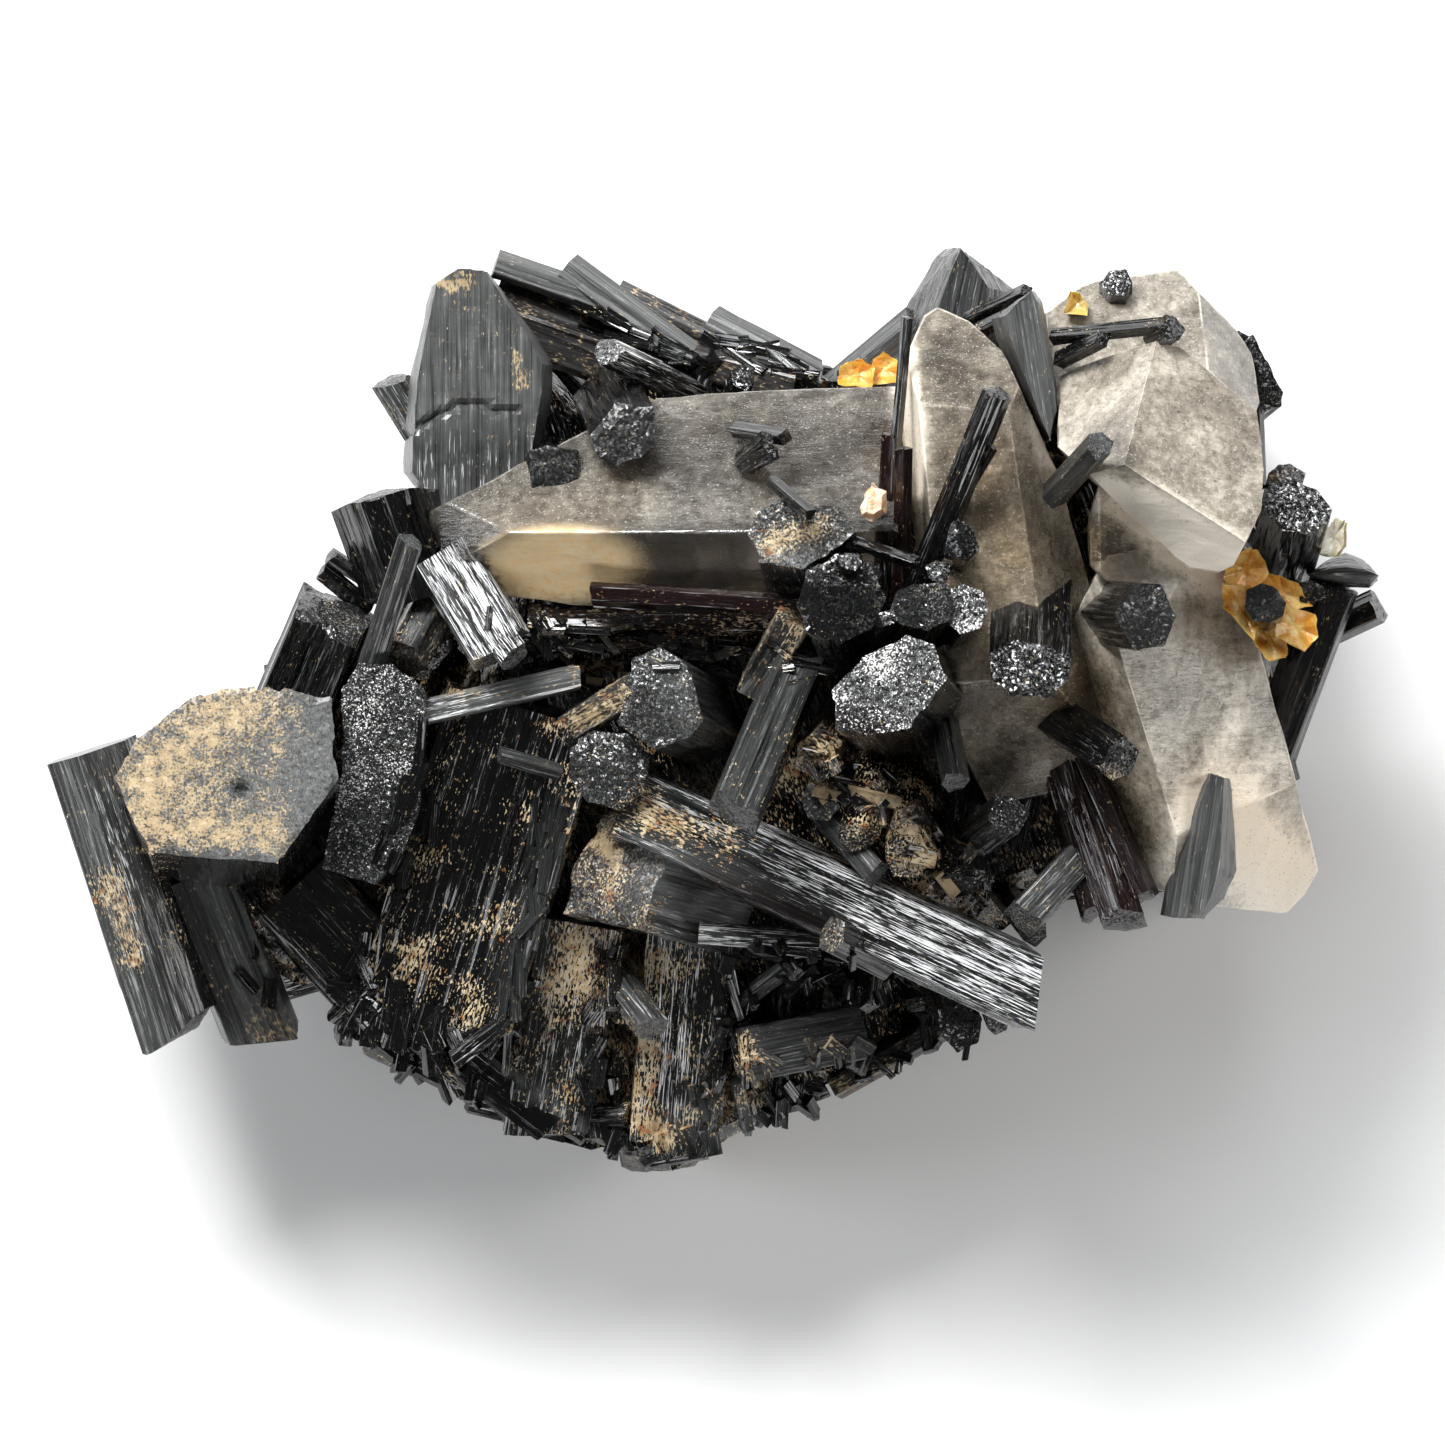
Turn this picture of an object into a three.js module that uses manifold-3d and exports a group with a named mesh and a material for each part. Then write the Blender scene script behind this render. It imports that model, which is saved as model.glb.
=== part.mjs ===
// Schorl on smoky quartz: a hand-sized cluster of black tourmaline prisms with two groups of
// smoky quartz crystals and a little orange mica, lying on its flat broken back.
// Millimetres. X runs across the display face, Y up the face, and Z up from the table to the viewer.
import * as THREE from "three";
import { ConvexGeometry } from "three/addons/geometries/ConvexGeometry.js";
import { mergeVertices } from "three/addons/utils/BufferGeometryUtils.js";
import Module from "manifold-3d";

// Driving dimensions
const GAP = 0.3; // clearance between one mineral's solid and the next
const SLAB = -1; // in place of a turn: a broken prism with one broad flat face in front
const SLAB_FRONT = 0.84; // width of that face, as a share of the prism's width
const NEEDLE = 1.5; // a prism slimmer than this has four sides, the others have six
const TRIGONAL_SWELL = 0.07; // how far a tourmaline section bulges towards its three blunt corners
const SLANT = 0.22; // the most a broken prism end leans, as a share of the prism's width
const TAPER = 0.94; // a prism seen end-on is this much narrower at its root
const TABLE_CUT = 40; // depth of the block that takes away everything below the table
const QUARTZ_TOP = 40; // height from which the quartz faces are cut
const CUTTER = 160; // side of the blocks that cut them

// Crystals seen from the side: name, root, tip, width across the view, thickness along it, turn in
// degrees and, where the end is askew, how far its left corner reaches past the middle
const LEFT_WING = [
  ["far_left_slab", [-38.1, -1.7, 13.5], [-32.5, -18.9, 12.5], 5.9, 5.6, 41],
  ["grey_green_prism", [-31.8, -8.8, 12.5], [-27.7, -19.2, 10], 4.7, 4.6, SLAB],
  ["dark_leaner", [-26, -9.7, 15], [-20.3, -15.9, 14], 6.4, 6, SLAB],
  ["wing_chip", [-21, -15.6, 11], [-19.5, -18.4, 11], 1.5, 1.5, 0],
  ["upper_block", [-26.8, -1.6, 14], [-23.1, 6.9, 18.5], 5.2, 5.4, SLAB],
  ["slender_rod", [-21.1, 3.2, 20.5], [-18.6, 10.9, 25.5], 1.6, 1.5, 30],
  ["fluted_stub", [-18.2, 8.3, 17], [-20.2, 13.9, 19], 7.2, 6.4, 0],
  ["side_stub_low", [-21.2, 6.8, 16.5], [-24.1, 9.2, 17.5], 1.4, 1.4, 0],
  ["side_stub_high", [-20.6, 8.1, 16.5], [-23.6, 10, 17.5], 1.1, 1.4, 30],
  ["silver_prism", [-16.6, 9.9, 19.5], [-13.1, 4.1, 21.5], 4.1, 3.2, SLAB],
  ["silver_neighbour", [-13.6, 5.4, 21.5], [-12.4, 3.8, 23.2], 2.1, 1.8, 20],
  ["dusty_stub", [-17.2, 7.4, 16.5], [-19.2, 3.6, 20], 3, 3, 15],
  ["thin_bar", [-17.8, 0.6, 20.3], [-8.6, 2.7, 20], 1.6, 1.4, SLAB],
  ["left_giant", [-11.6, 1.4, 14], [-17.8, -19, 11.5], 11.4, 12, SLAB],
  ["giant_sliver", [-9.7, -3, 19.4], [-13.4, -1.9, 20.6], 1.2, 1.1, 0],
];

const UPPER_LEFT = [
  ["pale_sliver", [-17.2, 16.2, 11], [-20, 20.7, 12], 2.6, 2.2, 0],
  ["roof_beam", [-13.7, 27.6, 11.5], [-6.3, 25.1, 11], 2, 2.3, 0],
  ["layered_beam", [-14, 24.9, 9.5], [-6.2, 22.1, 9.5], 4.4, 4.4, 20],
  ["second_beam", [-9.4, 27.3, 11], [-2.2, 22, 12.4], 2.4, 2.2, 0],
  ["third_beam", [-6.4, 25.8, 9.6], [-0.4, 22.8, 10], 2, 2.2, 30],
  ["fourth_beam", [-0.6, 24.3, 9.5], [6, 20.8, 11], 2, 2.2, 0],
  ["grey_brown_block", [-3.4, 22.4, 9.5], [4.4, 20.4, 11], 3.2, 3.4, 15],
  ["shiny_beam", [-1.4, 19.8, 10.5], [-6.9, 22.3, 17.5], 2, 2, 0],
  ["round_head", [0.4, 18, 8], [1.3, 20.8, 16], 1.7, 1.7, 0],
];

const CENTRE = [
  ["shelf_lath_high", [-11.6, 6.1, 18.5], [3, 6, 19.5], 2, 2.2, 0],
  ["shelf_lath_low", [-11.8, 4.9, 18], [-0.6, 5, 18.8], 1.8, 2.4, 20],
  ["ledge_sliver", [-9.4, -0.5, 18.5], [-5.2, 2, 22.4], 2, 1.8, SLAB],
  ["stained_block", [-0.6, -10.7, 13], [-6.4, -8.9, 20.5], 7, 6.6, SLAB],
  ["long_silver_prism", [-5.6, -4.9, 20], [18.7, -16.2, 22], 5, 5.2, SLAB, -0.8],
  ["leaning_blade", [5.4, 5.4, 20], [0.7, -5.6, 31], 3.3, 3, SLAB],
  ["dusty_blade", [2, 1.9, 20.5], [4.4, 6.3, 24], 2.4, 2, SLAB],
  ["slim_red_prism", [7.6, 6.7, 22.6], [-7.9, 7.7, 22.4], 1.7, 1.5, 0],
  ["capping_chip", [2.9, 14.4, 27.5], [5.3, 12.3, 30], 1, 1, 0],
  ["flat_slender", [7.2, 10.9, 27], [11.7, 9.4, 29.5], 1, 1, 0],
  ["small_head_high", [9, 4.6, 27], [9.9, 6.2, 35], 1.3, 1.3, 0],
  ["small_head_top", [7.2, 7.4, 27], [7.6, 9.6, 33.4], 1.7, 1.2, 0],
  ["small_head_right", [11, 5, 20], [12.9, 9, 30], 1.7, 1.6, 0],
  ["tall_needle", [9.5, 6, 24], [11.1, 24.2, 26], 0.8, 0.9, 0],
  ["short_needle", [10.7, 6, 24], [10.9, 16.4, 28], 1.2, 1.1, 0],
  ["brown_needle", [9.4, 6, 23.5], [10.1, 17.2, 25.4], 1.1, 1.1, 30],
  ["long_leaner", [11, 6, 24], [16.5, 19.7, 32], 2, 1.8, 0],
  ["leaner_twig", [14.9, 14.2, 28.8], [16.2, 16.4, 30.6], 0.7, 0.7, 0],
  ["bright_sided_rod", [12.8, 2.4, 22], [13.9, -3.6, 29], 1.9, 1.8, 0],
  ["dusty_lump_upper", [7.4, 1, 14], [5.6, -2, 25], 2.9, 2.8, 0],
  ["dusty_lump_lower", [7, -2, 17], [5.8, -4.9, 23], 2.5, 2.6, 20],
  ["under_rod_left", [9.4, -1, 17], [8.1, -7, 25], 2.6, 2.4, 15],
  ["cream_flake", [10.6, -4.9, 22.6], [7.6, -4.2, 23.6], 0.9, 0.8, SLAB],
  ["striated_chip", [6, -5.4, 20.5], [9.3, -9.2, 24.6], 1.7, 1.4, SLAB],
  ["under_rod_middle", [11.4, -2, 16], [11, -8.2, 25.5], 3, 2.6, 0],
  ["under_rod_right", [15.4, -1, 16], [14.2, -9.6, 22.5], 3, 2.8, 25],
  ["ball_prism", [13, -8.6, 18], [17.2, -5.5, 25], 2.9, 2.6, 0],
];

const RIGHT_SIDE = [
  ["stained_end_rod", [15.4, 3.4, 17], [23.8, -2.3, 30], 2.8, 2.6, 20],
  ["red_group_left", [19, 0.4, 19], [22.4, -11.6, 22.5], 2.2, 3, 0],
  ["red_group_middle", [19.9, 0.2, 20], [24.1, -12.2, 24.5], 2.6, 3.4, 30],
  ["red_group_right", [21, -0.6, 21], [25.3, -10.6, 24], 2, 2.6, 0],
  ["low_bright_rod", [21.4, -8.2, 22.5], [17.9, -11.9, 24], 2.3, 2, SLAB],
  ["rough_bead", [16.4, -9.6, 13], [18.7, -12.6, 22], 1.9, 1.8, 0],
  ["mica_side_prism", [34.6, 7.6, 12], [35.3, 7.7, 24.5], 1.6, 1.6, 0],
  ["far_right_prism", [33.2, -2, 12], [37, 8.4, 15], 3.4, 4, 10],
  ["far_right_tail", [33.6, -0.6, 12.4], [34.4, -3.7, 12.6], 1.1, 1.2, 0],
  ["far_right_cross", [35.2, 4.9, 11.6], [39.7, 7, 12.6], 2.4, 3, 0],
  ["right_edge_needle", [32.3, 20.6, 13.6], [32.4, 14.1, 20], 0.6, 0.6, 0],
  ["top_dark_grain", [23.6, 20, 7], [23.7, 26.4, 19.6], 2.2, 1.9, 0],
];

const TOP = [
  ["back_beam", [4.8, 17.9, 8], [12.2, 24.1, 9.5], 3, 4, 0],
  ["back_beam_low", [7, 17.4, 8], [13, 22.4, 9], 2.6, 4, 30],
  ["sliver_high", [13.4, 23.6, 10.5], [18.3, 25.9, 19], 1, 1, 0],
  ["sliver_low", [13, 22.4, 10.5], [17, 24.2, 18], 1.2, 1.2, 0],
];

const BOTTOM = [
  ["hex_ended_rod", [9.9, -14.4, 21], [6.5, -12.7, 24.8], 2.1, 2, 30],
  ["short_rod", [9.4, -12.2, 13.6], [8.8, -17.2, 17], 1.4, 1.4, 0],
  ["thin_rod", [-0.6, -18.2, 13.4], [4.3, -14.5, 17.5], 1.3, 1.3, 0],
  ["shiny_rod", [-1.4, -12.7, 18.6], [5.8, -13.2, 18.6], 1.5, 1.6, 0],
  ["edge_knob", [14.2, -15, 19], [14.9, -16.4, 23.6], 1.1, 1, 0],
  ["orange_end_stub", [8.2, -18.6, 12.5], [1, -20, 15], 3.6, 3.4, 20],
  ["edge_slab", [6.8, -22, 8], [13.4, -18.3, 9], 2.2, 4, 0],
  ["edge_bead", [13.4, -16.4, 12], [14.3, -18.4, 17], 3, 2.8, 0],
  ["edge_bead_small", [14.8, -13.6, 9], [16.6, -18.2, 17], 1.6, 1.6, 0],
  ["mid_rod", [-7.6, -14, 13], [-4.2, -18.5, 18.5], 2.4, 2.4, 0],
  ["streaked_prism", [-1.8, -11.6, 13], [-2.9, -24.4, 9.5], 6.2, 8, SLAB],
  ["shaded_prism", [4.2, -13.4, 12], [3.2, -23.4, 8], 4.4, 7, 25],
  ["lower_diagonal", [-15.4, -20.4, 11], [-10.3, -24.3, 10.4], 3, 5, SLAB],
  ["lower_grey_prism", [-8.2, -11, 13], [-10.6, -24.6, 8.5], 6, 8, SLAB],
  ["keel_left", [-15.6, -15.6, 7], [-20.6, -20.6, 7], 4.6, 6, 0],
  ["keel_middle", [-5.4, -18, 6], [-3.6, -27.1, 6.5], 5.2, 7, 20],
  ["keel_right", [4, -15, 6], [6.6, -21.8, 6.5], 4.4, 6, 0],
  ["keel_far_right", [8.4, -11, 7], [14.6, -17.6, 8], 5.4, 8, 20],
];

// Crystals seen end-on: name, outline of the end face, height of the face at its centre,
// rise of the face per mm along X and Y, sideways step of the root, height of the root
const END_ON = [
  [
    "tan_hexagon",
    [
      [-31.4, 1.8], [-27, 2.4], [-23.3, 1.5], [-22.9, -3.4],
      [-26.4, -8.5], [-34.2, -8], [-36.4, -3.4], [-35, -1],
    ],
    26.5, [0.02, -0.06], [0.2, -3.4], 5,
  ],
  [
    "pitted_end",
    [
      [-22.8, 2], [-21.7, 3.6], [-19.8, 3.5], [-17.8, 2], [-17.9, -5],
      [-19.2, -8.2], [-20.9, -9.8], [-24, -8.8], [-23, -3.4],
    ],
    22.5, [0.05, 0], [1.4, -1], 5,
  ],
  [
    "granular_end",
    [[-5.4, 3.8], [-3.7, 4.5], [-2, 3.6], [-1.1, 0.1], [-1.9, -0.9], [-4, -1.7], [-6.3, -0.1], [-5.9, 1.4]],
    25.5, [0.12, 0], [2.9, -1.4], 12,
  ],
  [
    "rough_hexagon",
    [
      [-9.1, -1.6], [-7.8, -0.5], [-5.6, -0.7], [-4.3, -2],
      [-4.4, -4.2], [-6.2, -5.3], [-8.1, -4.8], [-9.2, -3.3],
    ],
    23.5, [0, 0], [0.8, -0.6], 12,
  ],
  [
    "clayey_mass",
    [[1.5, 11.2], [2, 12.5], [3.4, 13.3], [7.1, 12.8], [8, 11.4], [7, 10.4], [4.8, 9.1], [2.2, 9.4]],
    28.5, [0, -0.05], [1.6, -3], 14,
  ],
  [
    "round_end",
    [[4.4, 7], [5, 9], [6.9, 10.1], [9, 9.4], [9.8, 7.3], [9, 5.4], [7, 4.6], [5.1, 5.3]],
    32.5, [0, 0.04], [1.6, -3.6], 13,
  ],
  [
    "glittering_hexagon",
    [[6.6, -0.4], [6.5, 1.9], [8.4, 3.9], [11, 5.2], [12.6, 4.6], [13.4, 2.6], [11.2, -0.4], [8.3, -0.9]],
    36.5, [0.08, 0.05], [2.6, -2.4], 13,
  ],
  [
    "blue_faceted_end",
    [[16, 2.6], [15.9, 4.1], [17.5, 4.9], [19.2, 4.6], [20.8, 3.9], [20.7, 2.6], [19.4, 1.4], [17.3, 1.5]],
    31.5, [0, -0.25], [0.5, 12.7], 11,
  ],
  [
    "right_hexagon",
    [
      [32.2, 12.8], [32.8, 14.2], [34.2, 14.5], [35.6, 13.9],
      [36.5, 12.7], [36.3, 11.9], [34.9, 11.2], [33.4, 11.4],
    ],
    25, [0, -0.3], [-0.8, -4.2], 10,
  ],
  [
    "upper_stubby_end",
    [[-7.9, 17.2], [-7.5, 16], [-6.3, 15.3], [-4.9, 15.8], [-4, 16.6], [-4, 18.9], [-6.4, 19.2]],
    23, [0.05, -0.1], [-1.3, 2.4], 11,
  ],
  [
    "upper_granular_end",
    [[-11.9, 16.1], [-10.5, 16.6], [-8.6, 16.3], [-8.6, 14.7], [-9.5, 14.1], [-11.4, 14]],
    21.5, [0, 0], [0, 0.6], 11,
  ],
  [
    "black_chunk",
    [[13.2, 10], [13.6, 11.8], [14.2, 12.2], [15, 11.5], [15.4, 10.3], [14.6, 9.5]],
    30.5, [0, 0], [-1.2, -3], 15,
  ],
  [
    "pair_head_left",
    [[9.9, 6.6], [10.4, 7.8], [11.4, 8.2], [13.3, 8.3], [13.9, 7.2], [13.5, 6], [12.2, 5.4], [10.6, 5.8]],
    33, [0, 0.1], [-1.2, -3], 16,
  ],
  [
    "pair_head_right",
    [[13.3, 6], [13.2, 7.8], [14.4, 8.2], [15.5, 7.8], [15.9, 6.7], [15.4, 5.6], [14.2, 5.2]],
    32.4, [0.1, 0], [-2, -3], 16,
  ],
  [
    "mica_core_prism",
    [[31.2, 6.8], [31.3, 7.9], [32.2, 8.3], [33.2, 8], [33.7, 7.2], [33.5, 6.3], [32.7, 5.9], [31.7, 6]],
    27.6, [0.05, 0], [-0.2, -2.4], 12,
  ],
  [
    "upper_right_stub",
    [[32.7, 14.9], [33.3, 15.4], [34, 15.5], [35, 14.9], [34.8, 14.3], [33.8, 14.1], [32.8, 14.2]],
    23, [0, -0.2], [-0.6, -3], 11,
  ],
  [
    "right_edge_grain",
    [[31, 23.6], [32, 23.3], [32.9, 21.6], [33.8, 19.9], [33.7, 19], [32.6, 18.5], [31.6, 18.8], [30.4, 21]],
    15.4, [-0.2, 0], [-3.4, -3], 5,
  ],
];

// Crystals outlined on the view plane: name, outline, direction of the prism axis on the view plane,
// height of the widest section, thickness, width of the front face as a share of the outline
const OUTLINED = [
  [
    "upper_giant",
    [
      [-19.2, 17.3], [-19.3, 15], [-17.4, 12.8], [-11.4, 13.4], [-10.9, 16.6], [-10.2, 19.5],
      [-10.1, 21.5], [-11, 23], [-13, 25.2], [-14, 27.1],
      [-16, 27.3], [-17.6, 26.3], [-18, 24], [-18.9, 20.5],
    ],
    [0, 1], 13.5, 11, 0.86,
  ],
  [
    "pointed_back_crystal",
    [[9.6, 21], [11.3, 25.5], [12.6, 27.8], [13.5, 28.8], [14.9, 28], [16.8, 26.3], [18.2, 25.8], [18, 20]],
    [0.2, 1], 9, 8, 0.4,
  ],
  [
    "notch_prism",
    [
      [16.1, 24.2], [17.6, 25.2], [18.8, 25.9], [19.3, 25.2], [20.5, 20],
      [20.5, 18.7], [19.7, 16.8], [18.9, 18], [16.4, 22.9],
    ],
    [0.16, -1], 19, 13, 0.62,
  ],
  [
    "far_right_cap",
    [[35.2, 8.8], [36.4, 9.8], [37.5, 10.3], [38.7, 9.8], [39.5, 8.5], [39, 8], [37.4, 8], [36.2, 8.3]],
    [1, 0], 15, 5.4, 0.3,
  ],
];

// The intergrown mass under the crystals: name, outline at its widest, height there,
// top height, share of the outline left at the top, share left at the table
const MASS = [
  [
    "middle_mass",
    [
      [-19, -16], [-13, -20.6], [-5, -22], [2, -20.6], [9, -17.6], [16, -14], [22, -8], [24, 0],
      [22, 12], [16, 19], [4, 19.6], [-8, 17], [-16, 12], [-20, 4], [-21.6, -6],
    ],
    7, 14.5, 0.72, 0.84,
  ],
  [
    "bottom_mass",
    [
      [-20.8, -19.4], [-18.6, -21.2], [-16, -23], [-13, -24.8], [-9, -25], [-5.7, -26.2], [-3, -27.2],
      [-1.3, -26.2], [4, -23.6], [8.2, -21.2], [12.6, -18.4], [13, -14], [-17, -14],
    ],
    7.5, 12, 0.84, 0.72,
  ],
  [
    "left_mass",
    [[-34.6, -6], [-30, -15], [-22, -16.6], [-14, -10], [-15, 6], [-22, 6], [-29, 0]],
    9, 15, 0.7, 0.5,
  ],
  [
    "upper_mass",
    [[-17.6, 14], [-16.8, 24], [-12.4, 24], [-11.2, 19], [-6, 17], [-4, 10], [-16, 9]],
    7, 12, 0.8, 0.7,
  ],
  ["top_mass", [[-7, 19.6], [-6, 24], [-1, 23], [6, 21.2], [9, 21], [8, 14], [-6, 14]], 7, 11, 0.8, 0.7],
  [
    "right_mass",
    [
      [12, 14], [13, 24], [22, 23.4], [29, 21], [31.4, 15],
      [34.4, 9], [34, 0], [31.6, -8.4], [23, -10], [12, -8],
    ],
    6, 13, 0.8, 0.74,
  ],
  ["shelf_mass", [[-12, 3.8], [-11, 8.6], [-2, 9], [6, 10], [6, 4], [0, 3.8]], 12, 18.6, 0.9, 0.6],
  [
    "spray_mass",
    [
      [5, 9], [8, 12], [14, 10.6], [20, 4], [23, -3],
      [21.5, -10.4], [16, -11.6], [11, -8], [6.6, -4], [5.4, 1],
    ],
    11, 19, 0.84, 0.6,
  ],
];

// The rim, where the shorter prisms of the broken sides end, a little inside the outline of the face
const RIM = [
  [-35.2, -6], [-30.4, -15.4], [-20.6, -17], [-13, -22.6], [-3.4, -25.6], [7, -21],
  [22.6, -11], [33, -8], [35.4, 4], [33.6, 14.6], [29.6, 23], [20.4, 24.6],
  [10.4, 24], [-1.6, 22.8], [-13.6, 24.6], [-22, 8], [-30, 0.6],
];
const RIM_LENGTH = 11; // of the prisms that reach the rim
const RIM_LEVELS = [3.4, 8.2]; // heights of their two storeys
const RIM_WIDTHS = [3, 5.4]; // narrowest and widest of them
const RIM_INSET = [1.8, 2]; // least distance of their tips from the rim, and how much it varies
const RIM_SWING = 26; // the most degrees that one turns away from straight out

// Small crystals that only the quartz carries: node name, then crystals of the rows above
const ON_QUARTZ = {
  schorl_sprig_left: [
    ["sprig_long", [0.8, 17.5, 21], [3.8, 17, 25.4], 1.2, 1.2, 0],
    ["sprig_middle", [1.2, 15.6, 22], [2.7, 16.9, 26], 1.3, 1.2, 0],
    ["sprig_low", [1.4, 15.3, 22.5], [3, 16.1, 26.4], 1.1, 1.1, 30],
  ],
  schorl_needle_top: [
    ["needle_rod", [19.8, 23, 24], [27, 23.7, 27.5], 1.2, 1.2, 0],
    ["needle_head", [25.9, 22.9, 25.4], [26.9, 23.5, 28], 1.9, 1.6, 0],
    ["needle_base", [20.2, 21.6, 24], [22.8, 22.9, 26.4], 1.3, 1.4, 0],
  ],
  schorl_rod_right: [["notch_rod", [19.9, 13.6, 27], [22.5, 16.5, 34.5], 1.9, 1.8, 0]],
};
const CORNER_PRISM = [
  "corner_prism",
  [
    [29, -3], [30.6, -3.4], [30.9, -8.9], [30.1, -10.6],
    [28.9, -11.8], [26.2, -11.6], [26.8, -7.6], [27.9, -4.8],
  ],
  [0.15, 1], 22.6, 6, 0.5,
];
const STUB_ON_QUARTZ = [
  "stub_end",
  [[23.3, 6.3], [24.3, 8.3], [26.1, 8.2], [27, 6.3], [26.3, 4.5], [24.5, 4.2]],
  34.5, [0.05, 0], [-2.2, 0.3], 24,
];

// Smoky quartz: outline on the view plane, three points on each front face, height of the widest
// section, height of the foot and share of the outline left there
const QUARTZ_LEFT = [
  {
    outline: [
      [-19, 11.3], [-18.6, 12], [-17.5, 12.7], [-12, 14.3], [-6, 17.6], [-3.6, 19.9],
      [10.6, 20.2], [10.6, 7.2], [-8, 6.9], [-13, 7.5], [-16, 8.2], [-18, 9.3],
    ],
    faces: [
      [[10.6, 11.4, 27], [-18, 11.3, 23], [10.6, 20.2, 19]],
      [[10.6, 11.4, 27], [-18, 11.3, 23], [-8, 6.9, 19.4]],
      [[-19, 11.3, 19.6], [-16, 12.9, 21.8], [-15.6, 8.4, 21.4]],
    ],
    shoulder: 18, foot: 15.5, footShare: 0.8,
  },
];
const QUARTZ_RIGHT = [
  {
    outline: [
      [12.1, 24.4], [12.9, 24.9], [14.8, 24.1], [16.8, 22.3], [18.6, 18], [20.1, 15], [22.4, 7], [23.4, 0],
      [22, -4], [16, -5], [13.4, 0], [12, 8], [11, 16], [10.4, 19.1], [11.2, 22.4],
    ],
    faces: [
      [[11.6, 20, 26.5], [12.6, 8, 27], [18.6, 8, 27.5]],
      [[11.6, 19, 26.6], [16.8, 19, 26.6], [13.2, 24.9, 21.5]],
      [[11.9, 18, 27], [13.2, 4, 27], [11, 16, 22]],
      [[16.9, 20, 27], [19.4, 6, 27], [22.4, 7, 22]],
      [[14, 2, 27], [20, 2, 27], [19, -5, 20]],
    ],
    shoulder: 18, foot: 15.5, footShare: 0.82,
  },
  {
    outline: [
      [20.2, 20.7], [21.2, 21.3], [23, 21.9], [25.9, 22.8], [27.4, 22.4], [32, 18.6], [32.4, 15.1],
      [32.1, 12.6], [31.4, 11], [30.5, 9.3], [29.7, 8.9], [27.9, 9.2], [27, 9.8], [22.8, 13.8], [20, 16.4],
    ],
    faces: [
      [[25.9, 22.7, 27.5], [24.5, 17.5, 31.5], [20.4, 18.5, 26]],
      [[25.9, 22.7, 27.5], [24.5, 17.5, 31.5], [32.2, 15.1, 28.5]],
      [[24, 15.3, 33.2], [31, 10.8, 31.8], [27.3, 9.7, 28.8]],
    ],
    shoulder: 23, foot: 16, footShare: 0.8,
  },
  {
    outline: [
      [19.4, 24.6], [20.6, 25.2], [21.5, 26.2], [22.4, 26.6], [25.8, 26.9], [27.4, 27.2], [29.1, 25.3],
      [31, 23.6], [31.9, 22.2], [32.4, 19.2], [31, 16], [21, 16], [19.6, 20],
    ],
    faces: [
      [[20, 24, 20], [28, 24.6, 19.4], [25, 18, 25]],
      [[28.8, 25, 19], [29.8, 18, 24.4], [32, 21, 17.5]],
    ],
    shoulder: 14, foot: 7, footShare: 0.8,
  },
  {
    outline: [[21.8, 11.7], [22, 9.3], [22.9, 8.4], [25, 8.2], [26.3, 11], [25, 13], [22.5, 14.4]],
    faces: [
      [[20.2, 12.6, 26.6], [22.4, 14.8, 28.8], [22.6, 9, 28.4]],
      [[26.2, 11, 28.6], [22.4, 14.8, 28.8], [22.6, 9, 28.4]],
    ],
    shoulder: 22, foot: 18, footShare: 0.8,
  },
  {
    outline: [
      [20.8, 6], [20.4, 2], [22.6, -5], [25.6, -10], [30.2, -11.2], [34.1, -11.6], [35.3, -10.6],
      [36, -9], [34.5, -4], [33.4, -0.1], [32, 4.7], [31, 9], [28, 11.4], [23, 10],
    ],
    faces: [
      [[23.8, 4, 27], [27.2, -6.8, 25.5], [34, -2, 20.5]],
      [[23.8, 4, 27], [27.2, -6.8, 25.5], [20.5, 2, 21]],
      [[27.2, -6.8, 25.5], [34, -4, 20.6], [33, -11.4, 16]],
    ],
    shoulder: 15, foot: 8, footShare: 0.82,
  },
];

// Mica: the rosette's petals stand round a centre, the lumps are small stacks
const ROSETTE_CENTRE = [32.6, 6.9];
const ROSETTE_PETALS = [
  [[31.4, 10.4], [32.1, 10.3], [32.8, 8.8], [31.4, 7.4], [29.9, 8.4], [30, 9.2], 25.6],
  [[32.4, 9.1], [34.5, 8.4], [35.4, 6.9], [33.4, 6.4], [32, 7.6], 24.8],
  [[33.2, 7], [35.5, 6.4], [35.6, 5], [34.8, 4.1], [33, 5], 25.8],
  [[33.8, 5.8], [34, 3.8], [32.8, 3.5], [31.8, 4.8], [32, 6.4], 25],
  [[32.4, 6.6], [31.8, 4.9], [29.9, 6.9], [29.8, 8.4], [31.6, 8.2], 26.2],
];
const ROSETTE_FLOOR = 17;
const BACK_LUMPS = [
  [[7, 20.3], [7.2, 21.5], [8.4, 21.8], [9.3, 21.2], [9.2, 20.1], 17.6],
  [[8.8, 20.3], [9, 21.8], [9.7, 22.3], [10.5, 21.8], [10.6, 20.5], 16.6],
];
const BACK_LUMPS_FLOOR = 11;
const PALE_LUMP = [[[8.2, 12.2], [8.3, 13.6], [9, 14.4], [9.9, 13.8], [9.9, 12.4], [9, 11.8], 29]];
const PALE_LUMP_FLOOR = 26.2;
const YELLOW_FLAKE = [[[20.5, 24.4], [20.9, 25.8], [21.4, 25.7], [22, 24.9], [21.9, 24.3], 21.4]];
const YELLOW_FLAKE_FLOOR = 18.4;
const PALE_FLAKE = [[[35.9, 10], [36.4, 11.6], [36.9, 12.2], [37.5, 12.1], [37.4, 10.6], [36.9, 9.9], 20]];
const PALE_FLAKE_FLOOR = 16;

// Colours and finishes
const SCHORL = { color: 0x17181b, roughness: 0.35, metalness: 0 };
const QUARTZ = { color: 0xb5aa98, roughness: 0.3, metalness: 0 };
const MICA = { color: 0xd8902a, roughness: 0.4, metalness: 0 };
const PALE = { color: 0xe6cfae, roughness: 0.6, metalness: 0 };

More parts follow.
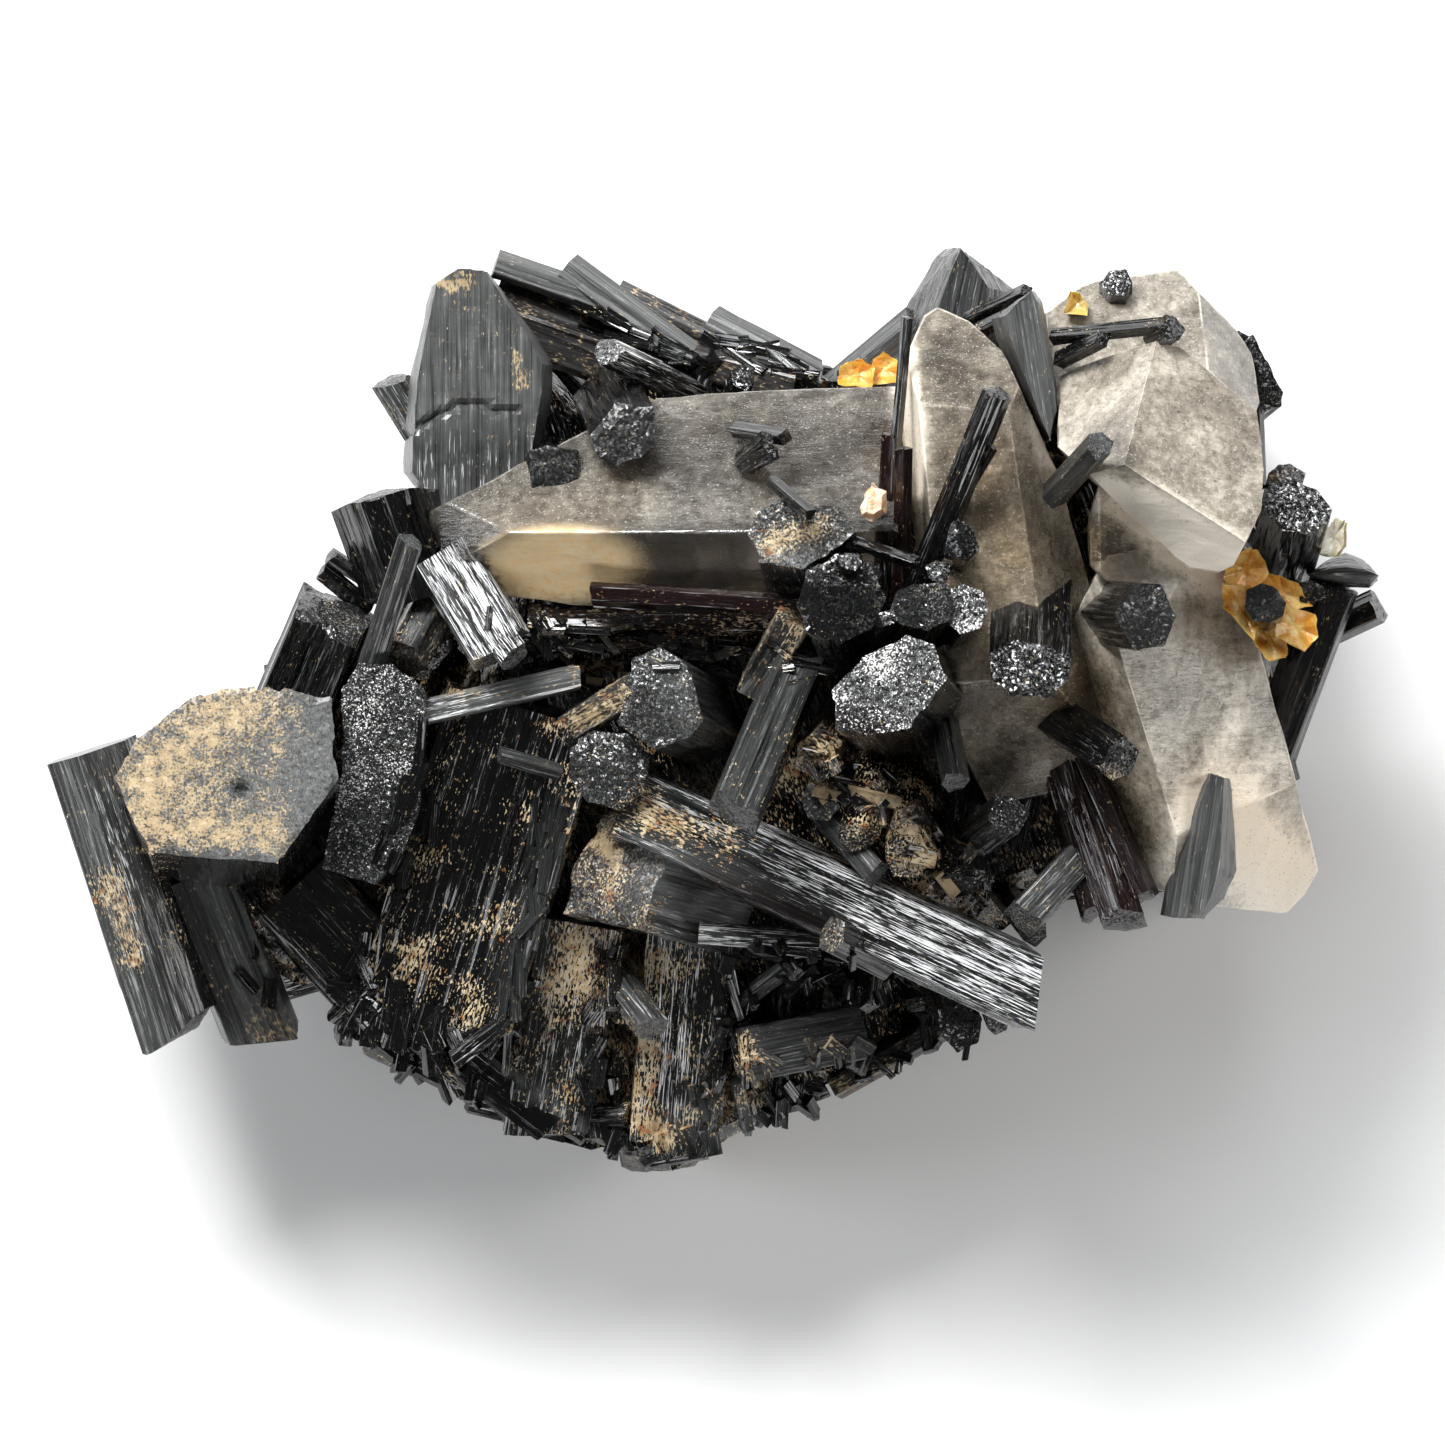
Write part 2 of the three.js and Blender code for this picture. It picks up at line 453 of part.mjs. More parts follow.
const wasm = await Module();
wasm.setup();

// A repeatable number from 0 to 1 for each whole number
function chance(index) {
  const wave = Math.sin(index * 12.9898 + 4.1414) * 43758.5453;
  return wave - Math.floor(wave);
}

// A closed three.js geometry as a solid that can be joined and cut
function solidFrom(geometry) {
  geometry.deleteAttribute("normal");
  geometry.deleteAttribute("uv");
  const merged = mergeVertices(geometry, 1e-4);
  return new wasm.Manifold(
    new wasm.Mesh({
      numProp: 3,
      vertProperties: merged.attributes.position.array,
      triVerts: new Uint32Array(merged.index.array),
    }),
  );
}

// The convex solid round a list of corners
function hull(corners) {
  return solidFrom(new ConvexGeometry(corners.map(([x, y, z]) => new THREE.Vector3(x, y, z))));
}

function joined(solids) {
  return solids.reduce((whole, piece) => whole.add(piece));
}

// The largest body of a solid, with any sealed hollow filled
function largest(solid) {
  return solid.decompose().reduce((best, body) => (body.volume() > best.volume() ? body : best));
}

function centreOf(outline) {
  const sum = outline.reduce(([x, y], [px, py]) => [x + px, y + py], [0, 0]);
  return [sum[0] / outline.length, sum[1] / outline.length];
}

// An outline scaled about its centre by a share, then grown outwards by a distance
function resized(outline, share, growth) {
  const [cx, cy] = centreOf(outline);
  return outline.map(([x, y]) => {
    const reach = Math.hypot(x - cx, y - cy);
    const factor = share + growth / reach;
    return [cx + (x - cx) * factor, cy + (y - cy) * factor];
  });
}

// The section of a tourmaline prism as offsets that just fill a box two units wide and two high
function section(width, turn) {
  if (turn === SLAB) {
    return [[1, -1], [SLAB_FRONT, 1], [-SLAB_FRONT, 1], [-1, -1]];
  }
  const points = [];
  const sides = width < NEEDLE ? 4 : 6;
  for (let side = 0; side < sides; side++) {
    const angle = THREE.MathUtils.degToRad(turn) + (side * 2 * Math.PI) / sides;
    const reach = 1 + TRIGONAL_SWELL * Math.cos(3 * angle);
    points.push([reach * Math.cos(angle), reach * Math.sin(angle)]);
  }
  const across = Math.max(...points.map(([u]) => Math.abs(u)));
  const deep = Math.max(...points.map(([, v]) => Math.abs(v)));
  return points.map(([u, v]) => [u / across, v / deep]);
}

// A prism from its root to its tip, grown outwards by a clearance where it cuts a pocket
function prism([, root, tip, width, thick, turn, lean], index, growth = 0) {
  const from = new THREE.Vector3(...root);
  const to = new THREE.Vector3(...tip);
  const axis = to.clone().sub(from).normalize();
  const side = new THREE.Vector3(0, 0, 1).cross(axis).normalize();
  const front = axis.clone().cross(side);
  const slantSide = lean ?? (chance(index) - 0.5) * SLANT * width;
  const slantFront = (chance(index + 0.5) - 0.5) * SLANT * width;
  const corners = [];
  for (const [u, v] of section(width, turn)) {
    const offset = side
      .clone()
      .multiplyScalar(u * (width / 2 + growth))
      .addScaledVector(front, v * (thick / 2 + growth));
    corners.push(from.clone().add(offset).addScaledVector(axis, -growth));
    corners.push(to.clone().add(offset).addScaledVector(axis, growth + u * slantSide + v * slantFront));
  }
  return hull(corners.map((corner) => corner.toArray()));
}

// A prism seen end-on, from the outline of its end face
function endOn([, outline, height, rise, step, rootHeight], growth = 0) {
  const [cx, cy] = centreOf(outline);
  const top = resized(outline, 1, growth).map(([x, y]) => [
    x,
    y,
    height + growth + (x - cx) * rise[0] + (y - cy) * rise[1],
  ]);
  const root = resized(outline, TAPER, growth).map(([x, y]) => [
    x + step[0],
    y + step[1],
    rootHeight - growth,
  ]);
  return hull([...top, ...root]);
}

// A prism outlined on the view plane, with a narrower front and back face along its axis
function outlined([, outline, along, height, thick, crown], growth = 0) {
  const length = Math.hypot(...along);
  const [ax, ay] = [along[0] / length, along[1] / length];
  const [cx, cy] = centreOf(outline);
  const grown = resized(outline, 1, growth);
  const narrowed = grown.map(([x, y]) => {
    const lengthwise = (x - cx) * ax + (y - cy) * ay;
    const sideways = ((y - cy) * ax - (x - cx) * ay) * crown;
    return [cx + lengthwise * ax - sideways * ay, cy + lengthwise * ay + sideways * ax];
  });
  return hull([
    ...grown.map(([x, y]) => [x, y, height]),
    ...narrowed.map(([x, y]) => [x, y, height + thick / 2 + growth]),
    ...narrowed.map(([x, y]) => [x, y, height - thick / 2 - growth]),
  ]);
}

// One lump of the intergrown mass, standing on the table
function lump([, outline, height, topHeight, topShare, tableShare], growth = 0) {
  return hull([
    ...resized(outline, 1, growth).map(([x, y]) => [x, y, height]),
    ...resized(outline, topShare, growth).map(([x, y]) => [x, y, topHeight + growth]),
    ...resized(outline, tableShare, growth).map(([x, y]) => [x, y, 0]),
  ]);
}

// Rows for the shorter prisms round the broken sides, in two storeys, the upper one a third as dense
function rimRows() {
  const rows = [];
  const [cx, cy] = centreOf(RIM);
  RIM_LEVELS.forEach((level, storey) => {
    RIM.forEach(([x, y], place) => {
      if (storey > 0 && place % 3 > 0) return;
      const index = storey * RIM.length + place;
      const swing = THREE.MathUtils.degToRad((chance(index + 200) - 0.5) * 2 * RIM_SWING);
      const heading = Math.atan2(y - cy, x - cx) + swing;
      const inset = RIM_INSET[0] + RIM_INSET[1] * chance(index + 300);
      const tip = [x - Math.cos(heading) * inset, y - Math.sin(heading) * inset];
      const root = [tip[0] - Math.cos(heading) * RIM_LENGTH, tip[1] - Math.sin(heading) * RIM_LENGTH];
      const width = RIM_WIDTHS[0] + (RIM_WIDTHS[1] - RIM_WIDTHS[0]) * chance(index + 400);
      const drop = 2.4 * (chance(index + 500) - 0.3);
      const turn = 60 * chance(index + 600);
      rows.push(["rim", [...root, level + drop], [...tip, level - drop], width, width, turn]);
    });
  });
  return rows;
}

const SIDE_ON = [
  ...LEFT_WING, ...UPPER_LEFT, ...CENTRE, ...RIGHT_SIDE, ...TOP, ...BOTTOM, ...rimRows(),
];

function tableBlock() {
  const block = new THREE.BoxGeometry(3 * TABLE_CUT, 3 * TABLE_CUT, TABLE_CUT);
  return solidFrom(block.translate(0, 0, -TABLE_CUT / 2));
}

// All intergrown tourmaline; a growth above zero gives the space that it takes out of its neighbours
function schorlCluster(growth = 0) {
  const whole = joined([
    ...MASS.map((row) => lump(row, growth)),
    ...SIDE_ON.map((row, index) => prism(row, index, growth)),
    ...END_ON.map((row) => endOn(row, growth)),
    ...OUTLINED.map((row) => outlined(row, growth)),
  ]);
  return largest(growth > 0 ? whole : whole.subtract(tableBlock()));
}

function carriedCrystals(rows, growth = 0) {
  return largest(joined(rows.map((row, index) => prism(row, index + 100, growth))));
}

// A block that lies above the plane through three points
function blockAbove([a, b, c], growth) {
  const [pa, pb, pc] = [a, b, c].map((point) => new THREE.Vector3(...point));
  const normal = pb.sub(pa).cross(pc.sub(pa)).normalize();
  if (normal.z < 0) normal.negate();
  const block = new THREE.BoxGeometry(CUTTER, CUTTER, CUTTER).translate(0, 0, CUTTER / 2 + growth);
  block.applyQuaternion(new THREE.Quaternion().setFromUnitVectors(new THREE.Vector3(0, 0, 1), normal));
  return solidFrom(block.translate(pa.x, pa.y, pa.z));
}

// A quartz crystal: its outline, tapered towards the foot, with the front faces cut on
function quartzCrystal({ outline, faces, shoulder, foot, footShare }, growth = 0) {
  const blank = hull([
    ...resized(outline, 1, growth).map(([x, y]) => [x, y, QUARTZ_TOP]),
    ...resized(outline, 1, growth).map(([x, y]) => [x, y, shoulder - growth]),
    ...resized(outline, footShare, growth).map(([x, y]) => [x, y, foot - growth]),
  ]);
  return faces.reduce((crystal, face) => crystal.subtract(blockAbove(face, growth)), blank);
}

function quartzGroup(rows, growth = 0) {
  return joined(rows.map((row) => quartzCrystal(row, growth)));
}

// Thin petals or stacks, from outlines that each end with their top height
function stack(petals, floor, growth = 0) {
  return joined(
    petals.map((petal) => {
      const outline = petal.slice(0, -1);
      const top = petal[petal.length - 1] + growth;
      return hull([
        ...resized(outline, 1, growth).map(([x, y]) => [x, y, top]),
        ...resized(outline, 0.6, growth).map(([x, y]) => [x, y, floor - growth]),
      ]);
    }),
  );
}

function rosette(growth = 0) {
  const heart = hull(
    ROSETTE_PETALS.map(([[x, y]]) => [
      [(x + ROSETTE_CENTRE[0]) / 2, (y + ROSETTE_CENTRE[1]) / 2, ROSETTE_FLOOR - 3],
      [(x + ROSETTE_CENTRE[0]) / 2, (y + ROSETTE_CENTRE[1]) / 2, ROSETTE_FLOOR + 5],
    ]).flat(),
  );
  return stack(ROSETTE_PETALS, ROSETTE_FLOOR, growth).add(heart);
}

const group = new THREE.Group();
group.name = "schorl_on_smoky_quartz";

function addMesh(name, solid, finish) {
  const { numProp, vertProperties, triVerts } = solid.getMesh();
  const geometry = new THREE.BufferGeometry();
  const positions = new THREE.InterleavedBuffer(vertProperties, numProp);
  geometry.setAttribute("position", new THREE.InterleavedBufferAttribute(positions, 3, 0));
  geometry.setIndex(new THREE.BufferAttribute(triVerts, 1));
  const mesh = new THREE.Mesh(geometry, new THREE.MeshStandardMaterial(finish));
  mesh.name = name;
  group.add(mesh);
}

const cluster = schorlCluster();
addMesh("schorl_cluster", cluster, SCHORL);

const clusterSpace = schorlCluster(GAP);
const carried = Object.entries(ON_QUARTZ);
let carriedSpace = endOn(STUB_ON_QUARTZ, GAP).add(outlined(CORNER_PRISM, GAP));
for (const [name, rows] of carried) {
  addMesh(name, largest(carriedCrystals(rows).subtract(clusterSpace)), SCHORL);
  carriedSpace = carriedSpace.add(carriedCrystals(rows, GAP));
}
addMesh("schorl_stub_right", largest(endOn(STUB_ON_QUARTZ).subtract(clusterSpace)), SCHORL);
addMesh("schorl_corner_prism", largest(outlined(CORNER_PRISM).subtract(clusterSpace)), SCHORL);

const quartzLeft = largest(quartzGroup(QUARTZ_LEFT).subtract(clusterSpace).subtract(carriedSpace));
addMesh("smoky_quartz_left", quartzLeft, QUARTZ);
const quartzLeftSpace = quartzGroup(QUARTZ_LEFT, GAP);
const quartzRight = largest(
  quartzGroup(QUARTZ_RIGHT).subtract(clusterSpace).subtract(carriedSpace).subtract(quartzLeftSpace),
);
addMesh("smoky_quartz_right", quartzRight, QUARTZ);

const quartzSpace = quartzLeftSpace.add(quartzGroup(QUARTZ_RIGHT, GAP));
function fitted(solid) {
  return largest(solid.subtract(clusterSpace).subtract(quartzSpace));
}
addMesh("mica_rosette", fitted(rosette()), MICA);
addMesh("mica_lumps_back", fitted(stack(BACK_LUMPS, BACK_LUMPS_FLOOR)), MICA);
addMesh("mica_flake_yellow", fitted(stack(YELLOW_FLAKE, YELLOW_FLAKE_FLOOR)), MICA);
addMesh("mica_flake_pale", fitted(stack(PALE_FLAKE, PALE_FLAKE_FLOOR)), MICA);
addMesh("pale_lump", fitted(stack(PALE_LUMP, PALE_LUMP_FLOOR)), PALE);

// The origin is under the middle of the bounding box, on the table
const box = new THREE.Box3().setFromObject(group);
const middle = box.getCenter(new THREE.Vector3());
group.position.set(-middle.x, -middle.y, -box.min.z);

export default group;
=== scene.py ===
"""Schorl on smoky quartz: the looks of a cluster of black tourmaline prisms with two groups of smoky
quartz crystals and a little orange mica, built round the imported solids.

Crystals are described in millimetres on the display face: X runs across it, Y up it and Z towards the
viewer from the table. Blender gets them in metres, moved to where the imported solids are.
"""

import math

import bmesh
import bpy
import numpy as np
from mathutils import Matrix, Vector, noise
from mathutils.bvhtree import BVHTree
from mathutils.geometry import delaunay_2d_cdt


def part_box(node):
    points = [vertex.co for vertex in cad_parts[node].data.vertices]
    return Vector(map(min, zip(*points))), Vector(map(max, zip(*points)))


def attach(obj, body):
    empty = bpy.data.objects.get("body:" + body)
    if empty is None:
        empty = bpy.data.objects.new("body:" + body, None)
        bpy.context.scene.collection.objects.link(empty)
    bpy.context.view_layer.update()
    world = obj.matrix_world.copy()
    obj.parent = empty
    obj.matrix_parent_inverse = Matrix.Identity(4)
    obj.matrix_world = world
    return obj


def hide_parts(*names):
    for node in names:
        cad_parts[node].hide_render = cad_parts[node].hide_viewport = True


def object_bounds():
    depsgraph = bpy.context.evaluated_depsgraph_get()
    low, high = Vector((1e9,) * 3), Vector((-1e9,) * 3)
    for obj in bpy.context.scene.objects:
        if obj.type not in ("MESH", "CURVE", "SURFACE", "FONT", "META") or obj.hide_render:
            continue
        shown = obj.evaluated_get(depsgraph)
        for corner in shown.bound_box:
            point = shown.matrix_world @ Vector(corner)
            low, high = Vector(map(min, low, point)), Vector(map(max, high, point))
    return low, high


bl_info = {
    "name": "Schorl on smoky quartz",
    "version": (1, 0, 0),
    "blender": (4, 5, 0),
    "location": "3D View > Sidebar > Specimen",
    "description": "Builds the crystals, finishes and stage of a schorl and smoky quartz specimen",
    "category": "Add Mesh",
}

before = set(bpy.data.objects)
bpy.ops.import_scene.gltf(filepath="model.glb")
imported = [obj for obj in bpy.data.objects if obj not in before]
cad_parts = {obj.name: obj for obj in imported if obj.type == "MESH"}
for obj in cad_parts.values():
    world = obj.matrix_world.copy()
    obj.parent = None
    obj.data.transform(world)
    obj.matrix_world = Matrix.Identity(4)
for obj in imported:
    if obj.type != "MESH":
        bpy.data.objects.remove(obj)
CAD_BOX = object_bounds()

MM = 0.001  # metres in a millimetre

# The highest X and Y of the stub that stands on the right quartz, on the display face
STUB_FAR_CORNER = (27.0, 8.3)
stub_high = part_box("schorl_stub_right")[1]
FACE_ORIGIN = np.array([stub_high.x / MM - STUB_FAR_CORNER[0], stub_high.y / MM - STUB_FAR_CORNER[1], 0.0])

BOX_LOW, BOX_HIGH = (np.array(corner) / MM - FACE_ORIGIN for corner in CAD_BOX)

# Shape of the prisms
SLAB = -1  # in place of a turn: a broken prism with one broad flat face in front
SLAB_FRONT = 0.84  # width of that face, as a share of the prism's width
NEEDLE = 1.5  # mm; a prism slimmer than this has four sides, the others have six
TRIGONAL_SWELL = 0.07  # how far a section bulges towards its three blunt corners
SLANT = 0.22  # the most a broken end leans, as a share of the width
TAPER = 0.94  # a prism seen end-on is this much narrower at its root

# Crystals seen from the side: name, root, tip, width across the view, thickness along it, turn in
# degrees and, where the end is askew, how far its left corner reaches past the middle
LEFT_WING = [
    ["far_left_slab", [-38.1, -1.7, 13.5], [-32.5, -18.9, 12.5], 5.9, 5.6, 41],
    ["grey_green_prism", [-31.8, -8.8, 12.5], [-27.7, -19.2, 10], 4.7, 4.6, SLAB],
    ["dark_leaner", [-26, -9.7, 15], [-20.3, -15.9, 14], 6.4, 6, SLAB],
    ["wing_chip", [-21, -15.6, 11], [-19.5, -18.4, 11], 1.5, 1.5, 0],
    ["upper_block", [-26.8, -1.6, 14], [-23.1, 6.9, 18.5], 5.2, 5.4, SLAB],
    ["slender_rod", [-21.1, 3.2, 20.5], [-18.6, 10.9, 25.5], 1.6, 1.5, 30],
    ["fluted_stub", [-18.2, 8.3, 17], [-20.2, 13.9, 19], 7.2, 6.4, 0],
    ["side_stub_low", [-21.2, 6.8, 16.5], [-24.1, 9.2, 17.5], 1.4, 1.4, 0],
    ["side_stub_high", [-20.6, 8.1, 16.5], [-23.6, 10, 17.5], 1.1, 1.4, 30],
    ["silver_prism", [-16.6, 9.9, 19.5], [-13.1, 4.1, 21.5], 4.1, 3.2, SLAB],
    ["silver_neighbour", [-13.6, 5.4, 21.5], [-12.4, 3.8, 23.2], 2.1, 1.8, 20],
    ["dusty_stub", [-17.2, 7.4, 16.5], [-19.2, 3.6, 20], 3, 3, 15],
    ["thin_bar", [-17.8, 0.6, 20.3], [-8.6, 2.7, 20], 1.6, 1.4, SLAB],
    ["left_giant", [-11.6, 1.4, 14], [-17.8, -19, 11.5], 11.4, 12, SLAB],
    ["giant_sliver", [-9.7, -3, 19.4], [-13.4, -1.9, 20.6], 1.2, 1.1, 0],
]

UPPER_LEFT = [
    ["pale_sliver", [-17.2, 16.2, 11], [-20, 20.7, 12], 2.6, 2.2, 0],
    ["roof_beam", [-13.7, 27.6, 11.5], [-6.3, 25.1, 11], 2, 2.3, 0],
    ["layered_beam", [-14, 24.9, 9.5], [-6.2, 22.1, 9.5], 4.4, 4.4, 20],
    ["second_beam", [-9.4, 27.3, 11], [-2.2, 22, 12.4], 2.4, 2.2, 0],
    ["third_beam", [-6.4, 25.8, 9.6], [-0.4, 22.8, 10], 2, 2.2, 30],
    ["fourth_beam", [-0.6, 24.3, 9.5], [6, 20.8, 11], 2, 2.2, 0],
    ["grey_brown_block", [-3.4, 22.4, 9.5], [4.4, 20.4, 11], 3.2, 3.4, 15],
    ["shiny_beam", [-1.4, 19.8, 10.5], [-6.9, 22.3, 17.5], 2, 2, 0],
    ["round_head", [0.4, 18, 8], [1.3, 20.8, 16], 1.7, 1.7, 0],
]

CENTRE = [
    ["shelf_lath_high", [-11.6, 6.1, 18.5], [3, 6, 19.5], 2, 2.2, 0],
    ["shelf_lath_low", [-11.8, 4.9, 18], [-0.6, 5, 18.8], 1.8, 2.4, 20],
    ["ledge_sliver", [-9.4, -0.5, 18.5], [-5.2, 2, 22.4], 2, 1.8, SLAB],
    ["stained_block", [-0.6, -10.7, 13], [-6.4, -8.9, 20.5], 7, 6.6, SLAB],
    ["long_silver_prism", [-5.6, -4.9, 20], [18.7, -16.2, 22], 5, 5.2, SLAB, -0.8],
    ["leaning_blade", [5.4, 5.4, 20], [0.7, -5.6, 31], 3.3, 3, SLAB],
    ["dusty_blade", [2, 1.9, 20.5], [4.4, 6.3, 24], 2.4, 2, SLAB],
    ["slim_red_prism", [7.6, 6.7, 22.6], [-7.9, 7.7, 22.4], 1.7, 1.5, 0],
    ["capping_chip", [2.9, 14.4, 27.5], [5.3, 12.3, 30], 1, 1, 0],
    ["flat_slender", [7.2, 10.9, 27], [11.7, 9.4, 29.5], 1, 1, 0],
    ["small_head_high", [9, 4.6, 27], [9.9, 6.2, 35], 1.3, 1.3, 0],
    ["small_head_top", [7.2, 7.4, 27], [7.6, 9.6, 33.4], 1.7, 1.2, 0],
    ["small_head_right", [11, 5, 20], [12.9, 9, 30], 1.7, 1.6, 0],
    ["tall_needle", [9.5, 6, 24], [11.1, 24.2, 26], 0.8, 0.9, 0],
    ["short_needle", [10.7, 6, 24], [10.9, 16.4, 28], 1.2, 1.1, 0],
    ["brown_needle", [9.4, 6, 23.5], [10.1, 17.2, 25.4], 1.1, 1.1, 30],
    ["long_leaner", [11, 6, 24], [16.5, 19.7, 32], 2, 1.8, 0],
    ["leaner_twig", [14.9, 14.2, 28.8], [16.2, 16.4, 30.6], 0.7, 0.7, 0],
    ["bright_sided_rod", [12.8, 2.4, 22], [13.9, -3.6, 29], 1.9, 1.8, 0],
    ["dusty_lump_upper", [7.4, 1, 14], [5.6, -2, 25], 2.9, 2.8, 0],
    ["dusty_lump_lower", [7, -2, 17], [5.8, -4.9, 23], 2.5, 2.6, 20],
    ["under_rod_left", [9.4, -1, 17], [8.1, -7, 25], 2.6, 2.4, 15],
    ["cream_flake", [10.6, -4.9, 22.6], [7.6, -4.2, 23.6], 0.9, 0.8, SLAB],
    ["striated_chip", [6, -5.4, 20.5], [9.3, -9.2, 24.6], 1.7, 1.4, SLAB],
    ["under_rod_middle", [11.4, -2, 16], [11, -8.2, 25.5], 3, 2.6, 0],
    ["under_rod_right", [15.4, -1, 16], [14.2, -9.6, 22.5], 3, 2.8, 25],
    ["ball_prism", [13, -8.6, 18], [17.2, -5.5, 25], 2.9, 2.6, 0],
]

RIGHT_SIDE = [
    ["stained_end_rod", [15.4, 3.4, 17], [23.8, -2.3, 30], 2.8, 2.6, 20],
    ["red_group_left", [19, 0.4, 19], [22.4, -11.6, 22.5], 2.2, 3, 0],
    ["red_group_middle", [19.9, 0.2, 20], [24.1, -12.2, 24.5], 2.6, 3.4, 30],
    ["red_group_right", [21, -0.6, 21], [25.3, -10.6, 24], 2, 2.6, 0],
    ["low_bright_rod", [21.4, -8.2, 22.5], [17.9, -11.9, 24], 2.3, 2, SLAB],
    ["rough_bead", [16.4, -9.6, 13], [18.7, -12.6, 22], 1.9, 1.8, 0],
    ["mica_side_prism", [34.6, 7.6, 12], [35.3, 7.7, 24.5], 1.6, 1.6, 0],
    ["far_right_prism", [33.2, -2, 12], [37, 8.4, 15], 3.4, 4, 10],
    ["far_right_tail", [33.6, -0.6, 12.4], [34.4, -3.7, 12.6], 1.1, 1.2, 0],
    ["far_right_cross", [35.2, 4.9, 11.6], [39.7, 7, 12.6], 2.4, 3, 0],
    ["right_edge_needle", [32.3, 20.6, 13.6], [32.4, 14.1, 20], 0.6, 0.6, 0],
    ["top_dark_grain", [23.6, 20, 7], [23.7, 26.4, 19.6], 2.2, 1.9, 0],
]

TOP = [
    ["back_beam", [4.8, 17.9, 8], [12.2, 24.1, 9.5], 3, 4, 0],
    ["back_beam_low", [7, 17.4, 8], [13, 22.4, 9], 2.6, 4, 30],
    ["sliver_high", [13.4, 23.6, 10.5], [18.3, 25.9, 19], 1, 1, 0],
    ["sliver_low", [13, 22.4, 10.5], [17, 24.2, 18], 1.2, 1.2, 0],
]

BOTTOM = [
    ["hex_ended_rod", [9.9, -14.4, 21], [6.5, -12.7, 24.8], 2.1, 2, 30],
    ["short_rod", [9.4, -12.2, 13.6], [8.8, -17.2, 17], 1.4, 1.4, 0],
    ["thin_rod", [-0.6, -18.2, 13.4], [4.3, -14.5, 17.5], 1.3, 1.3, 0],
    ["shiny_rod", [-1.4, -12.7, 18.6], [5.8, -13.2, 18.6], 1.5, 1.6, 0],
    ["edge_knob", [14.2, -15, 19], [14.9, -16.4, 23.6], 1.1, 1, 0],
    ["orange_end_stub", [8.2, -18.6, 12.5], [1, -20, 15], 3.6, 3.4, 20],
    ["edge_slab", [6.8, -22, 8], [13.4, -18.3, 9], 2.2, 4, 0],
    ["edge_bead", [13.4, -16.4, 12], [14.3, -18.4, 17], 3, 2.8, 0],
    ["edge_bead_small", [14.8, -13.6, 9], [16.6, -18.2, 17], 1.6, 1.6, 0],
    ["mid_rod", [-7.6, -14, 13], [-4.2, -18.5, 18.5], 2.4, 2.4, 0],
    ["streaked_prism", [-1.8, -11.6, 13], [-2.9, -24.4, 9.5], 6.2, 8, SLAB],
    ["shaded_prism", [4.2, -13.4, 12], [3.2, -23.4, 8], 4.4, 7, 25],
    ["lower_diagonal", [-15.4, -20.4, 11], [-10.3, -24.3, 10.4], 3, 5, SLAB],
    ["lower_grey_prism", [-8.2, -11, 13], [-10.6, -24.6, 8.5], 6, 8, SLAB],
    ["keel_left", [-15.6, -15.6, 7], [-20.6, -20.6, 7], 4.6, 6, 0],
    ["keel_middle", [-5.4, -18, 6], [-3.6, -27.1, 6.5], 5.2, 7, 20],
    ["keel_right", [4, -15, 6], [6.6, -21.8, 6.5], 4.4, 6, 0],
    ["keel_far_right", [8.4, -11, 7], [14.6, -17.6, 8], 5.4, 8, 20],
]

